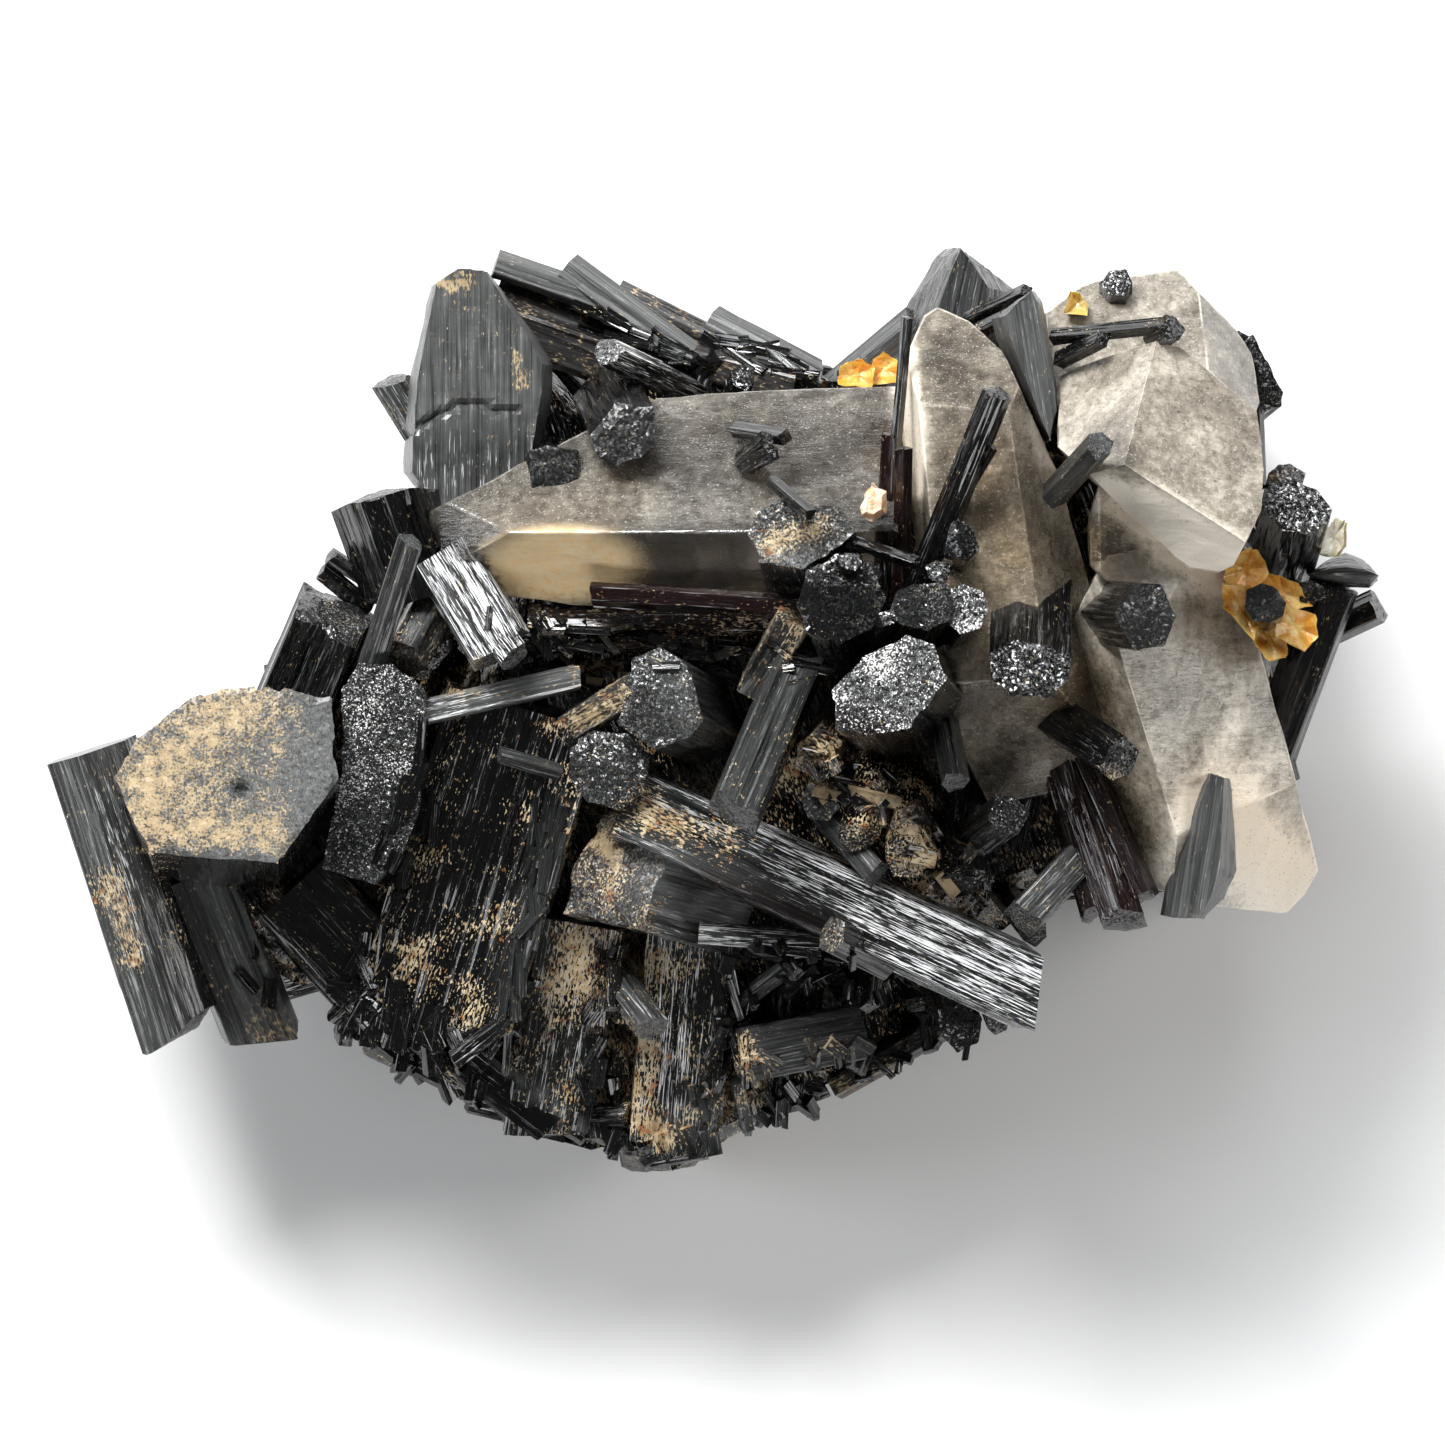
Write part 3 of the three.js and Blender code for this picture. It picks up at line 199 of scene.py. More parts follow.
# Crystals seen end-on: name, outline of the end face, height of the face at its centre,
# rise of the face per mm along X and Y, sideways step of the root, height of the root
END_ON = [
    [
        "tan_hexagon",
        [[-31.4, 1.8], [-27, 2.4], [-23.3, 1.5], [-22.9, -3.4], [-26.4, -8.5], [-34.2, -8], [-36.4, -3.4], [-35, -1]],
        26.5, [0.02, -0.06], [0.2, -3.4], 5,
    ],
    [
        "pitted_end",
        [
            [-22.8, 2], [-21.7, 3.6], [-19.8, 3.5], [-17.8, 2], [-17.9, -5],
            [-19.2, -8.2], [-20.9, -9.8], [-24, -8.8], [-23, -3.4],
        ],
        22.5, [0.05, 0], [1.4, -1], 5,
    ],
    [
        "granular_end",
        [[-5.4, 3.8], [-3.7, 4.5], [-2, 3.6], [-1.1, 0.1], [-1.9, -0.9], [-4, -1.7], [-6.3, -0.1], [-5.9, 1.4]],
        25.5, [0.12, 0], [2.9, -1.4], 12,
    ],
    [
        "rough_hexagon",
        [
            [-9.1, -1.6], [-7.8, -0.5], [-5.6, -0.7], [-4.3, -2],
            [-4.4, -4.2], [-6.2, -5.3], [-8.1, -4.8], [-9.2, -3.3],
        ],
        23.5, [0, 0], [0.8, -0.6], 12,
    ],
    [
        "clayey_mass",
        [[1.5, 11.2], [2, 12.5], [3.4, 13.3], [7.1, 12.8], [8, 11.4], [7, 10.4], [4.8, 9.1], [2.2, 9.4]],
        28.5, [0, -0.05], [1.6, -3], 14,
    ],
    [
        "round_end",
        [[4.4, 7], [5, 9], [6.9, 10.1], [9, 9.4], [9.8, 7.3], [9, 5.4], [7, 4.6], [5.1, 5.3]],
        32.5, [0, 0.04], [1.6, -3.6], 13,
    ],
    [
        "glittering_hexagon",
        [[6.6, -0.4], [6.5, 1.9], [8.4, 3.9], [11, 5.2], [12.6, 4.6], [13.4, 2.6], [11.2, -0.4], [8.3, -0.9]],
        36.5, [0.08, 0.05], [2.6, -2.4], 13,
    ],
    [
        "blue_faceted_end",
        [[16, 2.6], [15.9, 4.1], [17.5, 4.9], [19.2, 4.6], [20.8, 3.9], [20.7, 2.6], [19.4, 1.4], [17.3, 1.5]],
        31.5, [0, -0.25], [0.5, 12.7], 11,
    ],
    [
        "right_hexagon",
        [[32.2, 12.8], [32.8, 14.2], [34.2, 14.5], [35.6, 13.9], [36.5, 12.7], [36.3, 11.9], [34.9, 11.2], [33.4, 11.4]],
        25, [0, -0.3], [-0.8, -4.2], 10,
    ],
    [
        "upper_stubby_end",
        [[-7.9, 17.2], [-7.5, 16], [-6.3, 15.3], [-4.9, 15.8], [-4, 16.6], [-4, 18.9], [-6.4, 19.2]],
        23, [0.05, -0.1], [-1.3, 2.4], 11,
    ],
    [
        "upper_granular_end",
        [[-11.9, 16.1], [-10.5, 16.6], [-8.6, 16.3], [-8.6, 14.7], [-9.5, 14.1], [-11.4, 14]],
        21.5, [0, 0], [0, 0.6], 11,
    ],
    [
        "black_chunk",
        [[13.2, 10], [13.6, 11.8], [14.2, 12.2], [15, 11.5], [15.4, 10.3], [14.6, 9.5]],
        30.5, [0, 0], [-1.2, -3], 15,
    ],
    [
        "pair_head_left",
        [[9.9, 6.6], [10.4, 7.8], [11.4, 8.2], [13.3, 8.3], [13.9, 7.2], [13.5, 6], [12.2, 5.4], [10.6, 5.8]],
        33, [0, 0.1], [-1.2, -3], 16,
    ],
    [
        "pair_head_right",
        [[13.3, 6], [13.2, 7.8], [14.4, 8.2], [15.5, 7.8], [15.9, 6.7], [15.4, 5.6], [14.2, 5.2]],
        32.4, [0.1, 0], [-2, -3], 16,
    ],
    [
        "mica_core_prism",
        [[31.2, 6.8], [31.3, 7.9], [32.2, 8.3], [33.2, 8], [33.7, 7.2], [33.5, 6.3], [32.7, 5.9], [31.7, 6]],
        27.6, [0.05, 0], [-0.2, -2.4], 12,
    ],
    [
        "upper_right_stub",
        [[32.7, 14.9], [33.3, 15.4], [34, 15.5], [35, 14.9], [34.8, 14.3], [33.8, 14.1], [32.8, 14.2]],
        23, [0, -0.2], [-0.6, -3], 11,
    ],
    [
        "right_edge_grain",
        [[31, 23.6], [32, 23.3], [32.9, 21.6], [33.8, 19.9], [33.7, 19], [32.6, 18.5], [31.6, 18.8], [30.4, 21]],
        15.4, [-0.2, 0], [-3.4, -3], 5,
    ],
]
STUB_ON_QUARTZ = [
    "stub_end",
    [[23.3, 6.3], [24.3, 8.3], [26.1, 8.2], [27, 6.3], [26.3, 4.5], [24.5, 4.2]],
    34.5, [0.05, 0], [-2.2, 0.3], 24,
]

# Crystals outlined on the view plane: name, outline, direction of the prism axis on the view plane,
# height of the widest section, thickness, width of the front face as a share of the outline
OUTLINED = [
    [
        "upper_giant",
        [
            [-19.2, 17.3], [-19.3, 15], [-17.4, 12.8], [-11.4, 13.4], [-10.9, 16.6], [-10.2, 19.5],
            [-10.1, 21.5], [-11, 23], [-13, 25.2], [-14, 27.1], [-16, 27.3], [-17.6, 26.3], [-18, 24], [-18.9, 20.5],
        ],
        [0, 1], 13.5, 11, 0.86,
    ],
    [
        "pointed_back_crystal",
        [[9.6, 21], [11.3, 25.5], [12.6, 27.8], [13.5, 28.8], [14.9, 28], [16.8, 26.3], [18.2, 25.8], [18, 20]],
        [0.2, 1], 9, 8, 0.4,
    ],
    [
        "notch_prism",
        [
            [16.1, 24.2], [17.6, 25.2], [18.8, 25.9], [19.3, 25.2], [20.5, 20],
            [20.5, 18.7], [19.7, 16.8], [18.9, 18], [16.4, 22.9],
        ],
        [0.16, -1], 19, 13, 0.62,
    ],
    [
        "far_right_cap",
        [[35.2, 8.8], [36.4, 9.8], [37.5, 10.3], [38.7, 9.8], [39.5, 8.5], [39, 8], [37.4, 8], [36.2, 8.3]],
        [1, 0], 15, 5.4, 0.3,
    ],
]
CORNER_PRISM = [
    "corner_prism",
    [[29, -3], [30.6, -3.4], [30.9, -8.9], [30.1, -10.6], [28.9, -11.8], [26.2, -11.6], [26.8, -7.6], [27.9, -4.8]],
    [0.15, 1], 22.6, 6, 0.5,
]

# The intergrown mass under the crystals: name, outline at its widest, height there,
# top height, share of the outline left at the top, share left at the table
MASS = [
    [
        "middle_mass",
        [
            [-19, -16], [-13, -20.6], [-5, -22], [2, -20.6], [9, -17.6], [16, -14], [22, -8], [24, 0],
            [22, 12], [16, 19], [4, 19.6], [-8, 17], [-16, 12], [-20, 4], [-21.6, -6],
        ],
        7, 14.5, 0.72, 0.84,
    ],
    [
        "bottom_mass",
        [
            [-20.8, -19.4], [-18.6, -21.2], [-16, -23], [-13, -24.8], [-9, -25], [-5.7, -26.2], [-3, -27.2],
            [-1.3, -26.2], [4, -23.6], [8.2, -21.2], [12.6, -18.4], [13, -14], [-17, -14],
        ],
        7.5, 12, 0.84, 0.72,
    ],
    [
        "left_mass",
        [[-34.6, -6], [-30, -15], [-22, -16.6], [-14, -10], [-15, 6], [-22, 6], [-29, 0]],
        9, 15, 0.7, 0.5,
    ],
    ["upper_mass", [[-17.6, 14], [-16.8, 24], [-12.4, 24], [-11.2, 19], [-6, 17], [-4, 10], [-16, 9]], 7, 12, 0.8, 0.7],
    ["top_mass", [[-7, 19.6], [-6, 24], [-1, 23], [6, 21.2], [9, 21], [8, 14], [-6, 14]], 7, 11, 0.8, 0.7],
    [
        "right_mass",
        [[12, 14], [13, 24], [22, 23.4], [29, 21], [31.4, 15], [34.4, 9], [34, 0], [31.6, -8.4], [23, -10], [12, -8]],
        6, 13, 0.8, 0.74,
    ],
    ["shelf_mass", [[-12, 3.8], [-11, 8.6], [-2, 9], [6, 10], [6, 4], [0, 3.8]], 12, 18.6, 0.9, 0.6],
    [
        "spray_mass",
        [[5, 9], [8, 12], [14, 10.6], [20, 4], [23, -3], [21.5, -10.4], [16, -11.6], [11, -8], [6.6, -4], [5.4, 1]],
        11, 19, 0.84, 0.6,
    ],
]

# The rim, where the shorter prisms of the broken sides end, a little inside the outline of the face
RIM = [
    [-35.2, -6], [-30.4, -15.4], [-20.6, -17], [-13, -22.6], [-3.4, -25.6], [7, -21],
    [22.6, -11], [33, -8], [35.4, 4], [33.6, 14.6], [29.6, 23], [20.4, 24.6],
    [10.4, 24], [-1.6, 22.8], [-13.6, 24.6], [-22, 8], [-30, 0.6],
]
RIM_LENGTH = 11  # mm, of the prisms that reach the rim
RIM_LEVELS = [3.4, 8.2]  # heights of their two storeys
RIM_WIDTHS = [3, 5.4]  # narrowest and widest of them
RIM_INSET = [1.8, 2]  # least distance of their tips from the rim, and how much it varies
RIM_SWING = 26  # the most degrees that one turns away from straight out

# Small crystals that only the quartz carries: node name, then crystals of the rows above
ON_QUARTZ = {
    "schorl_sprig_left": [
        ["sprig_long", [0.8, 17.5, 21], [3.8, 17, 25.4], 1.2, 1.2, 0],
        ["sprig_middle", [1.2, 15.6, 22], [2.7, 16.9, 26], 1.3, 1.2, 0],
        ["sprig_low", [1.4, 15.3, 22.5], [3, 16.1, 26.4], 1.1, 1.1, 30],
    ],
    "schorl_needle_top": [
        ["needle_rod", [19.8, 23, 24], [27, 23.7, 27.5], 1.2, 1.2, 0],
        ["needle_head", [25.9, 22.9, 25.4], [26.9, 23.5, 28], 1.9, 1.6, 0],
        ["needle_base", [20.2, 21.6, 24], [22.8, 22.9, 26.4], 1.3, 1.4, 0],
    ],
    "schorl_rod_right": [["notch_rod", [19.9, 13.6, 27], [22.5, 16.5, 34.5], 1.9, 1.8, 0]],
}

# Smoky quartz: outline on the view plane, three points on each front face, height of the widest
# section, height of the foot and share of the outline left there
QUARTZ_TOP = 40  # mm, from where the faces are cut
QUARTZ_LEFT = [
    {
        "outline": [
            [-19, 11.3], [-18.6, 12], [-17.5, 12.7], [-12, 14.3], [-6, 17.6], [-3.6, 19.9],
            [10.6, 20.2], [10.6, 7.2], [-8, 6.9], [-13, 7.5], [-16, 8.2], [-18, 9.3],
        ],
        "faces": [
            [[10.6, 11.4, 27], [-18, 11.3, 23], [10.6, 20.2, 19]],
            [[10.6, 11.4, 27], [-18, 11.3, 23], [-8, 6.9, 19.4]],
            [[-19, 11.3, 19.6], [-16, 12.9, 21.8], [-15.6, 8.4, 21.4]],
        ],
        "shoulder": 18, "foot": 15.5, "foot_share": 0.8, "tone": "wedge",
    },
]
QUARTZ_RIGHT = [
    {
        "outline": [
            [12.1, 24.4], [12.9, 24.9], [14.8, 24.1], [16.8, 22.3], [18.6, 18], [20.1, 15], [22.4, 7], [23.4, 0],
            [22, -4], [16, -5], [13.4, 0], [12, 8], [11, 16], [10.4, 19.1], [11.2, 22.4],
        ],
        "faces": [
            [[11.6, 20, 26.5], [12.6, 8, 27], [18.6, 8, 27.5]],
            [[11.6, 19, 26.6], [16.8, 19, 26.6], [13.2, 24.9, 21.5]],
            [[11.9, 18, 27], [13.2, 4, 27], [11, 16, 22]],
            [[16.9, 20, 27], [19.4, 6, 27], [22.4, 7, 22]],
            [[14, 2, 27], [20, 2, 27], [19, -5, 20]],
        ],
        "shoulder": 18, "foot": 15.5, "foot_share": 0.82, "tone": "mottled",
    },
    {
        "outline": [
            [20.2, 20.7], [21.2, 21.3], [23, 21.9], [25.9, 22.8], [27.4, 22.4], [32, 18.6], [32.4, 15.1],
            [32.1, 12.6], [31.4, 11], [30.5, 9.3], [29.7, 8.9], [27.9, 9.2], [27, 9.8], [22.8, 13.8], [20, 16.4],
        ],
        "faces": [
            [[25.9, 22.7, 27.5], [24.5, 17.5, 31.5], [20.4, 18.5, 26]],
            [[25.9, 22.7, 27.5], [24.5, 17.5, 31.5], [32.2, 15.1, 28.5]],
            [[24, 15.3, 33.2], [31, 10.8, 31.8], [27.3, 9.7, 28.8]],
        ],
        "shoulder": 23, "foot": 16, "foot_share": 0.8, "tone": "pale",
    },
    {
        "outline": [
            [19.4, 24.6], [20.6, 25.2], [21.5, 26.2], [22.4, 26.6], [25.8, 26.9], [27.4, 27.2], [29.1, 25.3],
            [31, 23.6], [31.9, 22.2], [32.4, 19.2], [31, 16], [21, 16], [19.6, 20],
        ],
        "faces": [
            [[20, 24, 20], [28, 24.6, 19.4], [25, 18, 25]],
            [[28.8, 25, 19], [29.8, 18, 24.4], [32, 21, 17.5]],
        ],
        "shoulder": 14, "foot": 7, "foot_share": 0.8, "tone": "cream",
    },
    {
        "outline": [[21.8, 11.7], [22, 9.3], [22.9, 8.4], [25, 8.2], [26.3, 11], [25, 13], [22.5, 14.4]],
        "faces": [
            [[20.2, 12.6, 26.6], [22.4, 14.8, 28.8], [22.6, 9, 28.4]],
            [[26.2, 11, 28.6], [22.4, 14.8, 28.8], [22.6, 9, 28.4]],
        ],
        "shoulder": 22, "foot": 18, "foot_share": 0.8, "tone": "dark",
    },
    {
        "outline": [
            [20.8, 6], [20.4, 2], [22.6, -5], [25.6, -10], [30.2, -11.2], [34.1, -11.6], [35.3, -10.6],
            [36, -9], [34.5, -4], [33.4, -0.1], [32, 4.7], [31, 9], [28, 11.4], [23, 10],
        ],
        "faces": [
            [[23.8, 4, 27], [27.2, -6.8, 25.5], [34, -2, 20.5]],
            [[23.8, 4, 27], [27.2, -6.8, 25.5], [20.5, 2, 21]],
            [[27.2, -6.8, 25.5], [34, -4, 20.6], [33, -11.4, 16]],
        ],
        "shoulder": 15, "foot": 8, "foot_share": 0.82, "tone": "lower",
    },
]

# Mica: the rosette's petals stand round a centre, the lumps are small stacks
ROSETTE_PETALS = [
    [[31.4, 10.4], [32.1, 10.3], [32.8, 8.8], [31.4, 7.4], [29.9, 8.4], [30, 9.2], 25.6],
    [[32.4, 9.1], [34.5, 8.4], [35.4, 6.9], [33.4, 6.4], [32, 7.6], 24.8],
    [[33.2, 7], [35.5, 6.4], [35.6, 5], [34.8, 4.1], [33, 5], 25.8],
    [[33.8, 5.8], [34, 3.8], [32.8, 3.5], [31.8, 4.8], [32, 6.4], 25],
    [[32.4, 6.6], [31.8, 4.9], [29.9, 6.9], [29.8, 8.4], [31.6, 8.2], 26.2],
]
BACK_LUMPS = [
    [[7, 20.3], [7.2, 21.5], [8.4, 21.8], [9.3, 21.2], [9.2, 20.1], 17.6],
    [[8.8, 20.3], [9, 21.8], [9.7, 22.3], [10.5, 21.8], [10.6, 20.5], 16.6],
]
YELLOW_FLAKE = [[[20.5, 24.4], [20.9, 25.8], [21.4, 25.7], [22, 24.9], [21.9, 24.3], 21.4]]
PALE_FLAKE = [[[35.9, 10], [36.4, 11.6], [36.9, 12.2], [37.5, 12.1], [37.4, 10.6], [36.9, 9.9], 20]]
PALE_LUMP = [[[8.2, 12.2], [8.3, 13.6], [9, 14.4], [9.9, 13.8], [9.9, 12.4], [9, 11.8], 29]]

# How a tourmaline surface looks, each as a share: flecks of clay, gloss, redness, sugar grain,
# paleness, tan film and painted glints, bright streaks painted into the colour where striae would catch the light
CHANNELS = ("clay", "gloss", "red", "sugar", "pale", "tan", "silver")
# The last share of each look is painted glints: bright streaks in the colour
LOOK_ROWS = {
    "black": (0.2, 0.8, 0.0, 0.3, 0.0, 0.0, 0.0),
    "jet": (0.02, 1.0, 0.0, 0.1, 0.0, 0.0, 0.0),
    "speckled": (0.66, 1.0, 0.0, 0.5, 0.0, 0.0, 0.02),
    "streaked": (0.5, 0.85, 0.0, 0.5, 0.08, 0.06, 0.55),
    "umber": (0.35, 0.7, 0.55, 0.3, 0.0, 0.25, 0.0),
    "matte": (0.1, 0.35, 0.0, 0.3, 0.56, 0.0, 0.1),
    "grey": (0.2, 0.6, 0.0, 0.3, 0.32, 0.0, 0.15),
    "green": (0.15, 0.5, 0.0, 0.3, 0.6, 0.08, 0.1),
    "blue": (0.06, 0.75, 0.0, 0.3, 0.3, 0.0, 0.05),
    "silver": (0.1, 0.95, 0.0, 0.4, 0.2, 0.0, 1.0),
    "dusty": (0.6, 0.4, 0.0, 0.5, 0.25, 0.22, 0.0),
    "brown": (0.3, 0.35, 0.35, 0.4, 0.25, 0.22, 0.0),
    "red": (0.08, 0.85, 0.9, 0.3, 0.0, 0.0, 0.0),
    "glitter": (0.05, 1.0, 0.0, 1.0, 0.2, 0.0, 1.0),
    "sugary": (0.08, 0.9, 0.0, 0.8, 0.14, 0.0, 0.0),
    "rough": (0.25, 0.6, 0.0, 0.4, 0.12, 0.05, 0.0),
    "fibrous": (0.3, 0.2, 0.0, 0.1, 0.75, 0.4, 0.0),
    "dull": (0.05, 0.0, 0.0, 0.2, 0.0, 0.0, 0.0),
    "tan": (0.3, 0.1, 0.0, 0.3, 0.6, 1.0, 0.0),
    "foil": (0.25, 0.9, 0.0, 0.4, 0.4, 0.15, 0.3),
}
LOOKS = {name: dict(zip(CHANNELS, values)) for name, values in LOOK_ROWS.items()}
# Which look each crystal has, and its end where that is another; the rest are black
LOOK_GROUPS = {
    "jet": "tall_needle long_leaner lower_diagonal black_chunk sprig_long sprig_middle sprig_low round_end "
           "blue_faceted_end",
    "speckled": "left_giant under_rod_left under_rod_middle keel_left keel_right",
    "streaked": "streaked_prism lower_grey_prism",
    "umber": "shelf_lath_high shelf_lath_low",
    "matte": "roof_beam second_beam fourth_beam back_beam_low upper_giant corner_prism notch_prism",
    "grey": "far_left_slab giant_sliver stained_block striated_chip back_beam orange_end_stub mid_rod "
            "far_right_cap thin_rod",
    "green": "grey_green_prism thin_bar",
    "blue": "slender_rod leaning_blade granular_end pointed_back_crystal bright_sided_rod notch_rod",
    "silver": "silver_prism silver_neighbour shiny_beam long_silver_prism shiny_rod",
    "dusty": "wing_chip dusty_stub ledge_sliver dusty_blade dusty_lump_upper dusty_lump_lower keel_middle "
             "dusty_splinter edge_slab",
    "brown": "layered_beam third_beam grey_brown_block",
    "red": "slim_red_prism red_group_left red_group_middle red_group_right short_needle brown_needle",
    "sugary": "ball_prism rough_bead",
    "tan": "cream_flake tan_splinter",
    "foil": "pale_sliver low_bright_rod",
}
END_LOOK_GROUPS = {
    "black": "left_giant",
    "speckled": "dark_leaner streaked_prism",
    "dusty": "hex_ended_rod",
    "brown": "stained_block orange_end_stub grey_green_prism upper_right_stub",
    "glitter": "glittering_hexagon pair_head_right",
    "sugary": "pitted_end ball_prism",
    "rough": "granular_end rough_hexagon fluted_stub upper_block pair_head_left edge_knob",
    "fibrous": "tan_hexagon",
    "dull": "stub_end upper_granular_end mica_core_prism upper_stubby_end",
    "foil": "clayey_mass",
}
LOOK_OF = {name: look for look, names in LOOK_GROUPS.items() for name in names.split()}
END_LOOK_OF = {name: look for look, names in END_LOOK_GROUPS.items() for name in names.split()}

# How broken the end of a prism seen end-on is, where it is more or less than usual
USUAL_FRACTURE = 0.6
FRACTURE_OF = {
    "tan_hexagon": 0.12, "right_hexagon": 0.25, "glittering_hexagon": 0.3, "black_chunk": 1.4,
    "blue_faceted_end": 0.1, "stub_end": 0.2, "upper_granular_end": 0.3,
}

# Places with more or less of a channel: channel, amount at the middle, a line and its reach in mm
# Strokes of the glint share add or take away painted glints
STROKES = [
    ("clay", 0.4, [-9.4, -13], [-12, -22], 1.4), ("clay", 0.3, [-3.4, -14], [-5, -22], 1.4),
    ("clay", -0.3, [-14.6, -1], [-15.4, -9], 2.0), ("pale", 0.2, [-27.4, -6], [-24.8, -2], 2.6),
    ("clay", 0.8, [-37, -9.5], [-35.5, -14], 1.3), ("tan", 0.6, [-37, -9.5], [-35.6, -13.5], 0.9),
    ("silver", 0.5, [-37.4, -4], [-34.5, -14], 0.9), ("tan", 0.5, [-27.6, -18.4], [-26.5, -19], 1.2),
    ("tan", 0.4, [-34.4, -3.5], [-29, 0.6], 2.2), ("tan", 0.35, [-33.6, -6.4], [-27, -6.8], 1.6),
    ("tan", -0.5, [-23.4, 1], [-24.6, -5.6], 1.4), ("tan", -0.4, [-33, -7.8], [-27, -8.3], 0.6),
    ("pale", -0.9, [-28.9, -3.9], [-28.7, -3.9], 0.5), ("tan", -1.0, [-28.9, -3.9], [-28.7, -3.9], 0.5),
    ("pale", -0.4, [-33.8, -7], [-30.2, -17.8], 1.3), ("clay", 0.5, [-34.6, -8], [-32, -15], 1.0),
    ("clay", 0.7, [2.6, 10.8], [5.6, 11.6], 1.4), ("tan", 0.6, [3.4, 10.9], [5.4, 11.4], 0.7),
    # Painted glints, pale and bright, on the lower left rim of the clayey mass
    ("silver", 0.6, [1.8, 10.2], [4.6, 9.5], 0.8), ("pale", 0.4, [1.8, 10.2], [4.6, 9.5], 0.9),
    ("red", 0.9, [6.8, -0.2], [8.6, -0.8], 1.2), ("silver", -0.8, [6.8, -0.2], [8.6, -0.8], 1.2),
    ("tan", 0.5, [-9, -12.4], [-8.2, -14.4], 1.0), ("clay", 0.5, [-8.4, -15.4], [-5.6, -20.4], 1.6),
    ("tan", 0.45, [-2.4, -18.6], [-1.6, -21], 0.8), ("silver", 0.5, [-3, -14], [-3.2, -20], 2.0),
    ("clay", 0.5, [-2.6, -23.8], [2.4, -22.8], 1.4), ("pale", 0.4, [-2.6, -24.4], [1.4, -23.4], 1.4),
    # A painted highlight, a thin pale line along the ridge of the lower diagonal prism, and painted glints on the facet
    # at its left
    ("pale", 0.5, [-13.4, -20.6], [-8, -24.8], 0.35), ("silver", 0.7, [-16, -18.6], [-14, -21], 1.0),
    ("clay", 0.5, [-21.6, -9.4], [-19, -13.5], 1.2), ("tan", 0.8, [-15.9, 2.2], [-14.8, 3.2], 0.9),
    ("tan", 0.7, [-8.6, 3.3], [-6.4, 3.4], 0.6), ("tan", 0.5, [-9, -0.2], [-6, 1.6], 0.7),
    ("pale", 0.2, [-9.6, -6], [-12.6, -17], 1.5), ("clay", 0.8, [-4.9, -23.6], [-3.6, -25.2], 1.0),
    ("tan", 1.0, [-5, -23.6], [-3.4, -25], 0.7), ("clay", 0.9, [1.6, -20.4], [1.6, -19.4], 0.9),
    ("clay", 0.5, [23.4, -4.6], [23.4, -3.8], 1.0), ("clay", 0.5, [-5.6, -13.4], [-4.6, -15.4], 0.9),
    ("tan", 0.8, [-4.8, -5.2], [-2.6, -6.2], 1.1), ("clay", 0.6, [-5, -5.2], [-1, -7], 1.8),
    ("silver", -1.0, [-5.4, -5.6], [0.6, -8.4], 1.7), ("silver", -1.1, [-1.5, -8.6], [6.4, -12.4], 0.9),
    ("clay", 0.4, [-4, -5.4], [2, -8], 1.6), ("red", 0.7, [-1.5, -8.8], [6.4, -12.6], 0.8),
    ("pale", -0.3, [5.6, 2.4], [3, -5], 0.5), ("pale", 0.5, [-4, -9], [-1, -11], 2.2),
    ("tan", 0.7, [-7.8, -6.6], [-6.4, -8.4], 0.8), ("clay", 0.4, [-8, -7.5], [-5, -12], 2),
    ("pale", -0.3, [-18.6, 16], [-11, 15.6], 2.0), ("silver", 0.3, [-18.4, 15], [-12, 15], 1.6),
    ("tan", 0.8, [-16.6, 26.3], [-15.4, 26.4], 0.7), ("tan", 0.7, [-12.3, 22.1], [-12, 20.2], 0.4),
    ("clay", 0.5, [2, -3.2], [6, -2.6], 1.6), ("tan", 0.5, [4.2, -1.2], [6.6, -2.2], 0.8),
    # The pale stroke below is a painted sheen on the fluted side of the granular end
    ("clay", 0.5, [9.4, -5.4], [13.4, -9], 2.0), ("pale", 0.3, [-3, 2.6], [-1.5, -0.4], 1.4),
    ("clay", 0.45, [-0.6, 6.4], [5.4, 5.8], 1.2), ("red", 0.5, [26.2, 1.4], [28.4, 0.8], 1.2),
    ("silver", 0.6, [29.3, -0.6], [30.2, -4], 0.7), ("silver", 0.8, [-17.6, 0.7], [-14, 1.5], 0.8),
]
